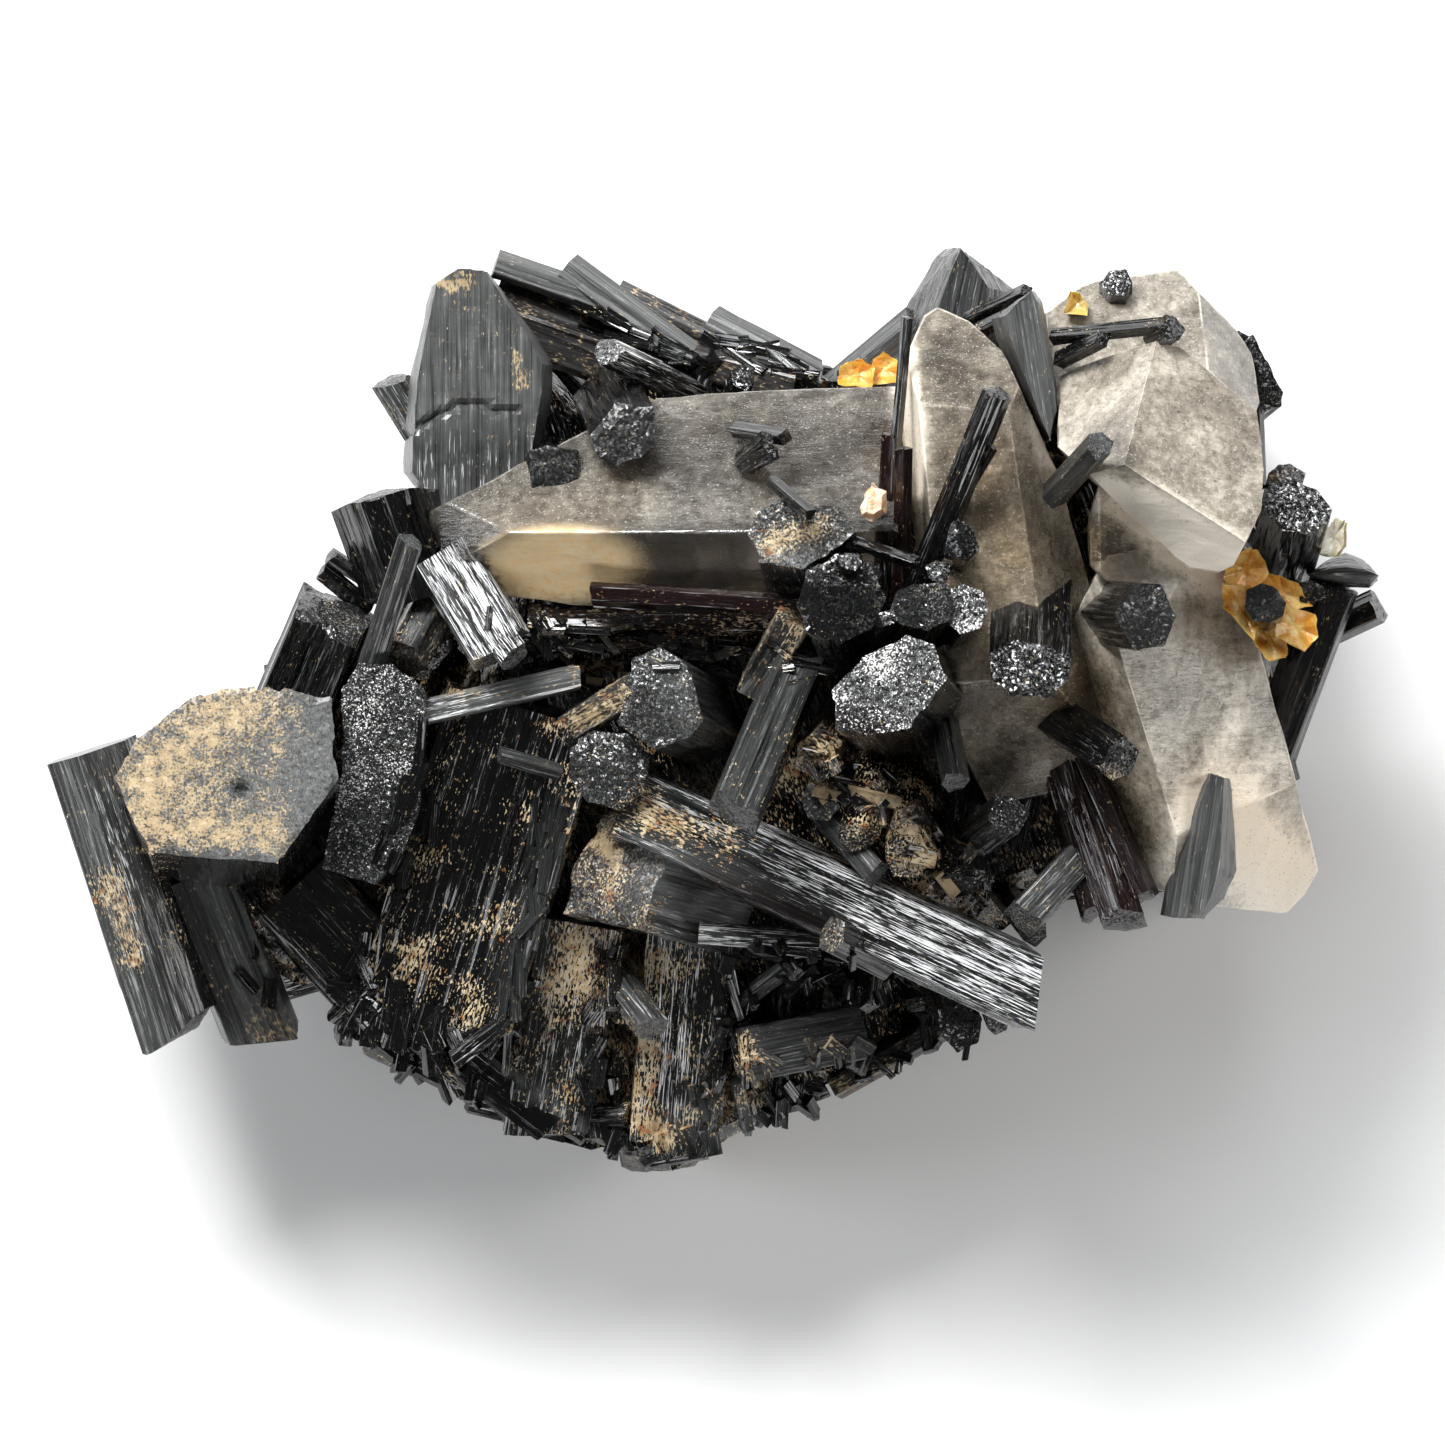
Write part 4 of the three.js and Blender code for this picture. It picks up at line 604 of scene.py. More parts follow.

# Tone, warmth and clearness of each quartz crystal, and places where they differ; some of these places are painted
# light and shade, as marked
QUARTZ_CHANNELS = ("tone", "warmth", "clearness")
QUARTZ_TONES = {
    "wedge": (0.41, 0.02, 0.45), "mottled": (0.56, 0.3, 0.45), "pale": (0.66, 0.22, 0.35),
    # The dark crystal's low tone is partly its smoky brown and partly painted shade for the shadow it lies in
    "cream": (0.6, 0.15, 0.3), "dark": (0.24, 0.4, 0.6), "lower": (0.76, 0.12, 0.35),
}
# The rounded edges are paler and milkier: partly rubbed frosting, partly a painted highlight along them
RUBBED_AND_LIT = [0.26, -0.04, -0.25]  # how much the rubbed edges differ
QUARTZ_STROKES = [
    # Painted light: the lower edge of the pale crystal, turned away from the lamps, made brighter
    ("tone", 0.5, [25.5, 12.2], [31, 9.4], 1.5),
    ("tone", -0.3, [-2, 9.4], [10, 10], 2.6), ("clearness", 0.2, [-2, 9.4], [10, 10], 2.6),
    ("clearness", 0.4, [-18.5, 11.4], [-16.4, 10], 1.4), ("tone", -0.35, [-18.5, 11.4], [-16, 10], 1.3),
    ("tone", 0.12, [-13, 13.4], [-8, 14], 1.6), ("warmth", 0.25, [-13, 13.4], [-6, 14], 2.2),
    ("tone", -0.16, [-6, 16.6], [6, 15.4], 2.4), ("tone", 0.2, [-4, 13], [4, 12.6], 1.2),
    ("tone", -0.45, [9.5, 17.4], [9.7, 17.2], 1.3), ("warmth", 0.6, [9.5, 17.4], [9.7, 16], 1.2),
    ("tone", 0.9, [11, 22], [11.5, 14], 0.7), ("clearness", -0.5, [11, 22], [11.5, 14], 0.8),
    ("tone", -0.16, [13, 22], [15.4, 18], 1.6), ("warmth", 0.5, [15.4, 16], [17.6, 10], 1.6),
    ("warmth", 0.4, [14, 8], [20, 2], 3.4), ("tone", 0.4, [18.8, 17.8], [19.9, 15.4], 0.8),
    # More painted light on that shaded lower edge, brighter and less clear
    ("tone", 0.8, [23.2, 13.4], [29.8, 9.4], 1.3), ("clearness", -0.9, [23.2, 13.4], [29.8, 9.4], 1.3),
    ("tone", -0.3, [23.4, 17], [24, 14.4], 1.1),
    # Painted light: the lower right face of the lowest crystal, which lies in shade, made brighter
    ("tone", 0.5, [30, -6], [33.5, -9.6], 2.8), ("warmth", 0.4, [29.4, -4], [34, -8], 3.0),
    ("clearness", -0.4, [30, -6], [33.5, -9.6], 3.0), ("clearness", -0.3, [31, 0], [26.6, -8.4], 0.5),
    ("tone", 0.15, [31, 1], [28, -4.6], 0.35), ("tone", 0.15, [28, -4.6], [26, -8.8], 0.35),
    # Painted shade: the left face of the lowest crystal made darker, over the warmer brown of its smoke
    ("tone", -0.34, [22, 1.5], [24.4, -6.5], 1.6), ("warmth", 0.5, [22, 1.5], [24.4, -6.5], 1.8),
    ("warmth", 0.6, [22.2, 11.4], [22.4, 9.4], 0.8), ("tone", 0.25, [22.1, 11.4], [22.3, 9.4], 0.6),
]

LATHS_IN_LUMP = 66  # laths half buried in each lump of the mass

# Numbers of the crystals, which seed their small differences
FIRST_LATH = 400
FIRST_ON_QUARTZ = 100
LONE_CRYSTAL = 30

# Broken splinters on the cluster: a line of the display face that they lie along, how many, their
# heading in degrees and its spread, shortest and longest, narrowest and widest in mm, and their name
# where they don't look like the rest
SPLINTERS = [
    [[-23.4, -17.4], [-12.2, -20.6], 46, -107, 14, [1.2, 3.6], [0.5, 1.4]],
    [[-21.6, -19.6], [-15.0, -22.8], 30, -100, 26, [1.0, 2.4], [0.4, 1.1]],
    [[-7.6, -25.2], [-1.4, -26.2], 34, -92, 24, [0.8, 2.0], [0.4, 1.1]],
    [[-1.4, -26.0], [13.0, -18.6], 60, -70, 30, [1.0, 2.4], [0.4, 1.1]],
    [[-10.4, -5.0], [-12.4, -20.0], 46, -104, 10, [1.4, 4.2], [0.4, 1.0]],
    [[-6.6, -12.0], [-7.6, -23.6], 34, -96, 12, [1.2, 3.4], [0.4, 1.1]],
    [[0.6, -12.6], [-0.2, -23.4], 34, -90, 16, [1.2, 3.2], [0.4, 1.1]],
    [[-17.8, -2.0], [-21.0, -16.0], 30, -107, 10, [1.2, 3.6], [0.4, 1.0]],
    [[-28.0, -16.0], [-21.6, -17.6], 24, -70, 24, [1.0, 2.6], [0.5, 1.3]],
    [[-12.0, 4.4], [5.0, 3.4], 50, -6, 14, [1.4, 4.5], [0.4, 1.0]],
    [[5.4, -2.0], [15.0, -9.0], 50, -60, 50, [0.8, 2.2], [0.4, 1.2]],
    [[5.4, -1.4], [14.0, -8.4], 40, -50, 60, [0.6, 1.6], [0.3, 0.9], "dusty_splinter"],
    [[6.0, -3.0], [13.0, -9.6], 9, -10, 40, [0.8, 1.8], [0.4, 0.8], "tan_splinter"],
    [[-8.0, 4.6], [4.0, 2.6], 16, -10, 30, [0.8, 2.0], [0.3, 0.8], "dusty_splinter"],
    [[-9.6, 3.4], [-7.8, 3.0], 4, -10, 20, [0.8, 1.4], [0.4, 0.8], "tan_splinter"],
    [[-1.0, -22.6], [8.0, -19.6], 24, -60, 40, [0.8, 1.8], [0.4, 1.0], "dusty_splinter"],
    [[3.0, -14.0], [12.0, -16.6], 50, -40, 40, [0.8, 2.4], [0.4, 1.2]],
    [[-8.6, 23.6], [-1.0, 21.4], 24, -22, 12, [1.4, 3.6], [0.4, 1.0]],
    [[-1.0, 22.4], [8.0, 20.6], 30, -16, 16, [1.0, 2.6], [0.4, 1.0]],
    [[-13.0, 8.0], [-8.6, 3.6], 20, -50, 30, [0.8, 2.0], [0.4, 1.0]],
]

# A crack across a broad crystal: its line on the display face, and its width in mm
CRACKS = {
    "upper_giant": [
        [-19.2, 17.3], [-18, 17.9], [-17, 18.5], [-16, 18.95], [-15, 19.2], [-13.6, 18.75], [-12.3, 18.75],
    ],
}
CRACK_WIDTH = 0.3


def colour_setting(name, description, default):
    return bpy.props.FloatVectorProperty(
        name=name, description=description, default=default, size=3, min=0.0, max=1.0, subtype="COLOR",
    )


def length_setting(name, description, default, least=0.0):
    return bpy.props.FloatProperty(
        name=name, description=description, default=default, min=least, unit="LENGTH", precision=5,
    )


class SchorlSettings(bpy.types.PropertyGroup):
    """Sizes and colours of the black tourmaline."""

    band: length_setting("Band width", "Usual width of a striation", 0.0003, 0.0001)
    groove: bpy.props.FloatProperty(
        name="Groove depth", description="How deep the striations go, as a share of a prism's width",
        default=0.024, min=0.0, max=0.1, subtype="FACTOR",
    )
    grit: length_setting("End grain", "Usual size of a grain on a broken end", 0.00028, 0.0001)
    black: colour_setting("Black", "Colour of clean tourmaline", (0.0016, 0.0017, 0.002))
    grey: colour_setting("Grey", "Colour of dusty tourmaline", (0.105, 0.11, 0.108))
    red: colour_setting("Red", "Colour of the reddish prisms", (0.009, 0.0028, 0.003))
    clay: colour_setting("Clay", "Colour of the clay flecks", (0.4, 0.29, 0.15))
    rust: colour_setting("Rust", "Colour of the rusty clay", (0.32, 0.13, 0.04))


class QuartzSettings(bpy.types.PropertyGroup):
    """Colours and clearness of the smoky quartz."""

    smoke: colour_setting("Smoke", "Colour that the clear quartz lets through", (0.6, 0.52, 0.42))
    smoke_density: bpy.props.FloatProperty(
        name="Smoke density", description="Absorption of the clear quartz, per metre", default=90.0, min=0.0,
    )
    # The cream is brighter than the cloud itself: partly painted light, making up for the shade on the wedge's lower
    # face
    cream: colour_setting("Cream", "Colour of the milky cloud inside the wedge", (1.0, 0.72, 0.37))
    # The rounded edges are paler and milkier: partly rubbed frosting, partly a painted highlight
    edge: length_setting("Edge", "Width of the rubbed edges", 0.00016)


class MicaSettings(bpy.types.PropertyGroup):
    """Colours of the mica and of the pale crust."""

    amber: colour_setting("Amber", "Colour of the mica leaves", (0.86, 0.38, 0.05))
    crust: colour_setting("Crust", "Colour of the middle of the pale lump", (0.66, 0.36, 0.14))
    leaves: bpy.props.IntProperty(
        name="Leaves", description="Leaves in one petal of the rosette", default=7, min=2, max=20,
    )


class StageSettings(bpy.types.PropertyGroup):
    """The floor, the lights and the camera."""

    floor: colour_setting("Floor", "Colour of the floor", (0.93, 0.93, 0.93))
    key: bpy.props.FloatProperty(
        name="Key light", description="Power of the light at the top left", default=6.4, min=0.0,
        unit="POWER",
    )
    fill: bpy.props.FloatProperty(
        name="Fill light", description="Power of each softer light", default=0.95, min=0.0, unit="POWER",
    )
    air: bpy.props.FloatProperty(
        name="Surroundings", description="Brightness of the surroundings", default=0.07, min=0.0,
    )
    distance: bpy.props.FloatProperty(
        name="Camera distance", description="Height of the camera above the table", default=1.5, min=0.1,
        unit="LENGTH",
    )


PIXEL = 0.06  # mm on the display face for one pixel of the 1445 pixel frame
FRAME_PIXELS = 1445
CAMERA_PIXEL = 722  # the pixel that shows the origin of the display face
SENSOR = 36.0  # mm
MIDDLE_HEIGHT = 20.0  # mm above the table, where the camera's frame is measured
FLOOR_WIDTH = 2.4  # m
LIGHT_TARGET = (0.0, 0.0, 0.015)  # m, the place that every light points at

# Softer lights: name, width and height in metres, share of the fill power, colour, place in metres
SOFT_LIGHTS = [
    ["top_light", (0.4, 0.2), 2.2, (0.94, 0.97, 1.0), (0.08, 0.6, 0.52)],
    ["left_light", (0.2, 0.34), 1.0, (0.93, 0.96, 1.0), (-0.48, 0.02, 0.26)],
    ["right_light", (0.2, 0.3), 1.0, (1.0, 0.99, 0.97), (0.46, 0.12, 0.3)],
    ["low_light", (0.3, 0.16), 0.85, (1.0, 1.0, 1.0), (0.04, -0.46, 0.3)],
]


def in_metres(points):
    """Points of the display face, in millimetres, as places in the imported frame."""
    return (np.asarray(points, float) + FACE_ORIGIN) * MM


def chance(index):
    """A repeatable number from 0 to 1 for each number."""
    wave = math.sin(index * 12.9898 + 4.1414) * 43758.5453
    return wave - math.floor(wave)


def centre_of(outline):
    return np.asarray(outline, float).mean(0)


def counter_clockwise(outline):
    """The outline as an array that runs counter-clockwise."""
    points = np.asarray(outline, float)
    after = np.roll(points, -1, 0)
    area = (points[:, 0] * after[:, 1] - after[:, 0] * points[:, 1]).sum()
    return points if area > 0 else points[::-1].copy()


def resized(outline, share):
    centre = centre_of(outline)
    return centre + (np.asarray(outline, float) - centre) * share


def section(width, thick, turn):
    """The outline of a prism's section, filling a box of that width and thickness."""
    if turn == SLAB:
        return np.array([[1, -1], [SLAB_FRONT, 1], [-SLAB_FRONT, 1], [-1, -1]]) * [width / 2, thick / 2]
    sides = 4 if width < NEEDLE else 6
    angle = math.radians(turn) + np.arange(sides) * 2 * math.pi / sides
    reach = 1 + TRIGONAL_SWELL * np.cos(3 * angle)
    across, deep = reach * np.cos(angle), reach * np.sin(angle)
    return np.stack([across / abs(across).max() * width / 2, deep / abs(deep).max() * thick / 2], 1)


def banded(outline, spacing, depth, rng):
    """The outline cut into flat bands of varied width that are set back in ledges, with the distance
    walked round it and the distance round it all."""
    points, around, walked = [], [], 0.0
    for start, end in zip(outline, np.roll(outline, -1, 0)):
        length = np.linalg.norm(end - start)
        count = max(3, int(round(length / spacing)))
        along = (end - start) / length
        inward = np.array([-along[1], along[0]])
        bevel = min(0.12, 0.06 * length) / length
        stops = (np.arange(count) + rng.uniform(-0.36, 0.36, count)) / (count - 1)
        stops[0], stops[-1] = 0.0, 1.0
        stops = bevel + np.clip(stops, 0, 1) * (1 - 2 * bevel)
        ledges = np.repeat(rng.random(count // 4 + 1), 4)[:count]
        set_back = depth * (0.7 * ledges ** 2 + 0.3 * rng.random(count))
        set_back[[0, -1]] = 0.0
        points.append(start + stops[:, None] * (end - start) + set_back[:, None] * inward)
        around.append(walked + stops * length)
        walked += length
    return np.concatenate(points), np.concatenate(around), walked


def inside(points, outline, margin):
    """Which points lie inside the outline and at least the margin from it."""
    after = np.roll(outline, -1, 0)
    within = np.zeros(len(points), bool)
    nearest = np.full(len(points), np.inf)
    for (ax, ay), (bx, by) in zip(outline, after):
        crosses = (ay > points[:, 1]) != (by > points[:, 1])
        rise = by - ay if abs(by - ay) > 1e-12 else 1e-12
        within ^= crosses & (points[:, 0] < (bx - ax) * (points[:, 1] - ay) / rise + ax)
        edge = np.array([bx - ax, by - ay])
        share = np.clip(((points - [ax, ay]) @ edge) / max(edge @ edge, 1e-12), 0, 1)
        nearest = np.minimum(nearest, np.linalg.norm(points - [ax, ay] - share[:, None] * edge, axis=1))
    return within & (nearest > margin)


def scattered(outline, spacing, rng):
    """Points spread unevenly over the inside of an outline."""
    low, high = outline.min(0), outline.max(0)
    columns = np.arange(low[0], high[0], spacing)
    rows = np.arange(low[1], high[1], spacing * 0.87)
    grid = np.array([[x + spacing / 2 * (i % 2), y] for i, y in enumerate(rows) for x in columns])
    if len(grid) == 0:
        return np.zeros((0, 2))
    grid += rng.uniform(-0.38, 0.38, grid.shape) * spacing
    return grid[inside(grid, outline, spacing * 0.45)]


def stroke_at(points, start, end, radius):
    """A share for each point: 1 on a line of the display face, fading out at the radius round it."""
    start = np.array(start, float)
    edge = np.array(end, float) - start
    share = np.clip((points[:, :2] - start) @ edge / max(edge @ edge, 1e-9), 0, 1)
    distance = np.linalg.norm(points[:, :2] - start - share[:, None] * edge, axis=1)
    return np.exp(-((distance / radius) ** 2))


MOST_CLAY = 1.0  # the clay share of a place where strokes cross
STROKE_PLACE = {
    "clay": ("wear", 0), "gloss": ("wear", 1), "red": ("wear", 2), "pale": ("skin", 2),
    "tan": ("film", 0), "silver": ("film", 1),
}


def looks_of(name):
    """The looks of a crystal's sides and of its end."""
    side = LOOK_OF.get(name, "black")
    return LOOKS[side], LOOKS[END_LOOK_OF.get(name, side)]


class Shell:
    """A mesh that grows by patches. Each face corner keeps its place on the crystal, for the grain, and
    the shares of its look for the finish, in threes."""

    def __init__(self):
        self.points, self.loops, self.sizes = [], [], []
        self.corners = {"grain": [], "wear": [], "skin": [], "film": []}
        self.count = 0

    def add_points(self, points):
        start = self.count
        self.points.append(np.asarray(points, float))
        self.count += len(points)
        return start

    def add_patch(self, faces, places, grain, look, end):
        """Faces by local number, the mesh point of each local number, and its place on the crystal."""
        faces = np.asarray(faces)
        self.loops.append(np.asarray(places)[faces].ravel())
        self.sizes.append(np.full(len(faces), faces.shape[1]))
        number = faces.size
        self.corners["grain"].append(np.asarray(grain)[faces].reshape(-1, 3))
        self.corners["wear"].append(np.tile([look["clay"], look["gloss"], look["red"]], (number, 1)))
        self.corners["skin"].append(np.tile([end, look["sugar"], look["pale"]], (number, 1)))
        self.corners["film"].append(np.tile([look["tan"], look["silver"], 0.0], (number, 1)))

    def build(self, name, material):
        points = np.concatenate(self.points)
        points = np.clip(points, BOX_LOW, BOX_HIGH)
        loops = np.concatenate(self.loops).astype(np.int32)
        sizes = np.concatenate(self.sizes)
        values = {key: np.concatenate(corners) for key, corners in self.corners.items()}
        for channel, amount, line_start, line_end, radius in STROKES:
            key, column = STROKE_PLACE[channel]
            values[key][:, column] += amount * stroke_at(points, line_start, line_end, radius)[loops]
        values["wear"][:, 0] = np.minimum(values["wear"][:, 0], MOST_CLAY)
        mesh = bpy.data.meshes.new(name)
        mesh.vertices.add(len(points))
        mesh.vertices.foreach_set("co", in_metres(points).astype(np.float32).ravel())
        mesh.loops.add(len(loops))
        mesh.loops.foreach_set("vertex_index", loops)
        mesh.polygons.add(len(sizes))
        mesh.polygons.foreach_set("loop_start", (np.cumsum(sizes) - sizes).astype(np.int32))
        mesh.update(calc_edges=True)
        mesh.polygons.foreach_set("use_smooth", np.zeros(len(sizes), bool))
        for key, value in values.items():
            attribute = mesh.attributes.new(key, "FLOAT_VECTOR", "CORNER")
            attribute.data.foreach_set("vector", value.astype(np.float32).ravel())
        mesh.validate()
        return linked(name, mesh, material)


def lay_walls(shell, rings, around, perimeter, along, look, seed):
    """The sides of a crystal, from rings of points that run counter-clockwise seen from its tip."""
    levels, columns = rings.shape[:2]
    start = shell.add_points(rings.reshape(-1, 3))
    places = start + (np.arange(levels)[:, None] * columns + np.arange(columns + 1) % columns)
    walked = np.concatenate([around, [perimeter]])
    grain = np.zeros((levels, columns + 1, 3))
    grain[:, :, 0] = walked
    grain[:, :, 1] = along[:, None]
    grain[:, :, 2] = seed
    number = np.arange(levels * (columns + 1)).reshape(levels, columns + 1)
    faces = np.stack([number[:-1, :-1], number[:-1, 1:], number[1:, 1:], number[1:, :-1]], -1).reshape(-1, 4)
    shell.add_patch(faces, places.ravel(), grain.reshape(-1, 3), look, 0.0)
    return places[:, :-1]


def lay_end(shell, flat, edge, lift, grit, look, seed, rng):
    """A rough end face. flat has the edge in the plane of the face, edge the mesh points of it, and lift
    gives the places of new points."""
    inner = scattered(flat, grit, rng)
    corners = np.concatenate([flat, inner]) if len(inner) else flat
    made = delaunay_2d_cdt(
        [Vector(point) for point in corners], [], [list(range(len(flat)))], 1, 1e-7,
    )
    spots, faces, origins = made[0], made[2], made[3]
    places, fresh = np.zeros(len(spots), int), []
    for number, origin in enumerate(origins):
        if origin and origin[0] < len(flat):
            places[number] = edge[origin[0]]
        else:
            fresh.append(number)
    spots = np.array([[spot[0], spot[1]] for spot in spots])
    if fresh:
        start = shell.add_points(lift(spots[fresh]))
        places[fresh] = start + np.arange(len(fresh))
    if not faces:
        return
    grain = np.column_stack([spots, np.full(len(spots), seed)])
    shell.add_patch(np.array([face[:3] for face in faces]), places, grain, look, 1.0)


def lay_root(shell, ring_points, edge, look, seed):
    """A plain fan that closes the hidden root of a crystal."""
    middle = shell.add_points([ring_points.mean(0)])
    count = len(edge)
    places = np.concatenate([edge, [middle]])
    faces = np.stack([np.full(count, count), (np.arange(count) + 1) % count, np.arange(count)], 1)
    shell.add_patch(faces, places, np.full((count + 1, 3), seed, float), look, 0.0)


def fracture(spots, size, seed):
    """How deep a broken end lies below its flat cap: a few flat facets that slope away to its edge."""
    rng = np.random.default_rng(int(seed * 7) + 11)
    depth = np.zeros(len(spots))
    for _ in range(4):
        angle = rng.uniform(0, 2 * math.pi)
        reach = spots @ [math.cos(angle), math.sin(angle)]
        depth = np.maximum(depth, (reach - rng.uniform(0.05, 0.4) * size) * rng.uniform(0.15, 0.5))
    return np.minimum(depth, 0.13 * size)


def laths(columns, shares, rng, broken, depth):
    """How far each point of each ring is set back, as a patchwork of laths that end at varied places."""
    back = np.zeros((len(shares), columns))
    done = 0
    while done < columns:
        width = int(rng.integers(1, 7))
        if rng.random() < broken:
            stops = np.sort(rng.random(int(rng.integers(1, 4))))
            depths = depth * rng.random(len(stops) + 1) ** 1.5
            back[:, done:done + width] = depths[np.searchsorted(stops, shares)][:, None]
        done += width
    back[0] = 0.0
    return back


def ring_shares(length, spacing, rng):
    """Where the rings lie, as shares of the length: in close pairs, so that laths end crisply."""
    count = int(np.clip(length / spacing, 4, 16))
    middle = (np.arange(1, count) + rng.uniform(-0.3, 0.3, count - 1)) / count
    gap = min(0.05 / length, 0.1 / count)
    return np.concatenate([[0.0], np.stack([middle, middle + gap], 1).ravel(), [1.0]])


def grow_prism(shell, row, index, settings):
    """A striated prism seen from the side."""
    name, root, tip, width, thick, turn, *lean = row
    rng = np.random.default_rng(1000 + index)
    root, tip = np.array(root, float), np.array(tip, float)
    axis = tip - root
    length = np.linalg.norm(axis)
    axis /= length
    side = np.cross([0, 0, 1], axis)
    side /= np.linalg.norm(side)
    front = np.cross(axis, side)
    size = min(width, thick)
    spacing = max(settings.band / MM * 0.6, min(settings.band / MM, size / 12))
    flat, around, perimeter = banded(section(width, thick, turn), spacing, settings.groove * size, rng)
    share = ring_shares(length, 1.1, rng)
    columns = len(flat)
    broken = 0.5 if turn == SLAB else 0.22
    back = laths(columns, share, rng, broken, 0.05 * size)
    reach = np.linalg.norm(flat, axis=1)
    shrunk = flat[None] * (1 - back / reach[None])[:, :, None]
    slant_side = (lean[0] if lean else (chance(index) - 0.5) * SLANT * width) / (width / 2)
    slant_front = (chance(index + 0.5) - 0.5) * SLANT * width / (thick / 2)
    seed = 7.0 * index
    rise = shrunk[:, :, 0] * slant_side + shrunk[:, :, 1] * slant_front
    forward = share[:, None] * length + rise * share[:, None] ** 2
    chips = np.repeat(rng.random(columns // 3 + 1) ** 3, 3)[:columns] * 0.04 * size
    forward[-1] -= chips + np.minimum(fracture(shrunk[-1], size, seed), 0.7 * length * (1 - share[-2]))
    rings = (
        root + forward[:, :, None] * axis + shrunk[:, :, :1] * side + shrunk[:, :, 1:] * front
    )
    look, end_look = looks_of(name)
    places = lay_walls(shell, rings, around, perimeter, share * length, look, seed)
    grit = min(settings.grit / MM, size / 5)
    relief = 0.03 + 0.12 * end_look["sugar"] * min(size, 4) / 4

    def lift(spots):
        height = length + spots[:, 0] * slant_side + spots[:, 1] * slant_front
        height -= fracture(spots, size, seed) + rng.random(len(spots)) * relief
        return root + height[:, None] * axis + spots[:, :1] * side + spots[:, 1:] * front

    lay_end(shell, shrunk[-1], places[-1], lift, grit, end_look, seed + 3, rng)
    lay_root(shell, rings[0], places[0], look, seed)


def grow_end_on(shell, row, index, settings):
    """A striated prism seen end-on, from the outline of its end face."""
    name, outline, height, rise, step, root_height = row
    rng = np.random.default_rng(3000 + index)
    outline = counter_clockwise(outline)
    centre = centre_of(outline)
    size = np.ptp(outline, axis=0).min()
    spacing = min(settings.band / MM, size / 12)
    flat, around, perimeter = banded(outline, spacing, settings.groove * size, rng)
    depth = height - root_height
    share = ring_shares(depth, 1.4, rng)
    back = laths(len(flat), share, rng, 0.25, 0.035 * size)
    offset = flat - centre
    reach = np.linalg.norm(offset, axis=1)
    shrink = (TAPER + (1 - TAPER) * share)[:, None] * (1 - back / reach)
    plane = centre + offset[None] * shrink[:, :, None] + (1 - share)[:, None, None] * np.array(step, float)
    seed = 500 + 7.0 * index
    look, end_look = looks_of(name)
    broken = FRACTURE_OF.get(name, USUAL_FRACTURE)
    chips = np.repeat(rng.random(len(flat) // 3 + 1) ** 3, 3)[:len(flat)] * min(0.04 * size, 0.25)
    top = height + (plane[-1] - centre) @ np.array(rise, float)
    levels_up = root_height + share[:, None] * (top - root_height)[None]
    levels_up[-1] -= chips + fracture(plane[-1] - centre, size, seed) * broken
    rings = np.concatenate([plane, levels_up[:, :, None]], 2)
    places = lay_walls(shell, rings, around, perimeter, share * depth, look, seed)
    relief = 0.01 + 0.18 * end_look["sugar"]

    def lift(spots):
        level = height + (spots - centre) @ np.array(rise, float) - rng.random(len(spots)) ** 2 * relief
        level -= fracture(spots - centre, size, seed) * broken
        return np.column_stack([spots, level])

    lay_end(shell, plane[-1], places[-1], lift, settings.grit / MM, end_look, seed + 3, rng)
    lay_root(shell, rings[0], places[0], look, seed)


def convex_mesh(corners):
    """The convex solid round a list of corners, with flat faces left whole."""
    made = bmesh.new()
    for corner in corners:
        made.verts.new(corner)
    hull = bmesh.ops.convex_hull(made, input=made.verts)
    unused = hull["geom_interior"] + hull["geom_unused"]
    loose = {item for item in unused if isinstance(item, bmesh.types.BMVert)}
    bmesh.ops.delete(made, geom=list(loose), context="VERTS")
    bmesh.ops.dissolve_limit(made, angle_limit=math.radians(0.3), verts=made.verts, edges=made.edges)
    bmesh.ops.recalc_face_normals(made, faces=made.faces)
    return made


def sliced(made, direction, spacing, rng):
    """Cuts every face of a mesh by planes a varied distance apart."""
    direction = Vector(direction).normalized()
    reach = [vert.co.dot(direction) for vert in made.verts]
    level = min(reach) + spacing * rng.uniform(0.3, 1)
    while level < max(reach):
        bmesh.ops.bisect_plane(
            made, geom=made.verts[:] + made.edges[:] + made.faces[:], plane_co=direction * level,
            plane_no=direction, dist=1e-5,
        )
        level += spacing * rng.uniform(0.6, 1.4)


def depth_of_cracks(name, points):
    """How far each point sinks because a crack runs there."""
    depth = np.zeros(len(points))
    line = np.array(CRACKS.get(name, []), float)
    for start, end in zip(line[:-1], line[1:]):
        edge = end - start
        share = np.clip((points[:, :2] - start) @ edge / (edge @ edge), 0, 1)
        distance = np.linalg.norm(points[:, :2] - start - share[:, None] * edge, axis=1)
        depth = np.maximum(depth, 0.5 * (1 - np.clip(distance / CRACK_WIDTH, 0, 1)))
    return depth


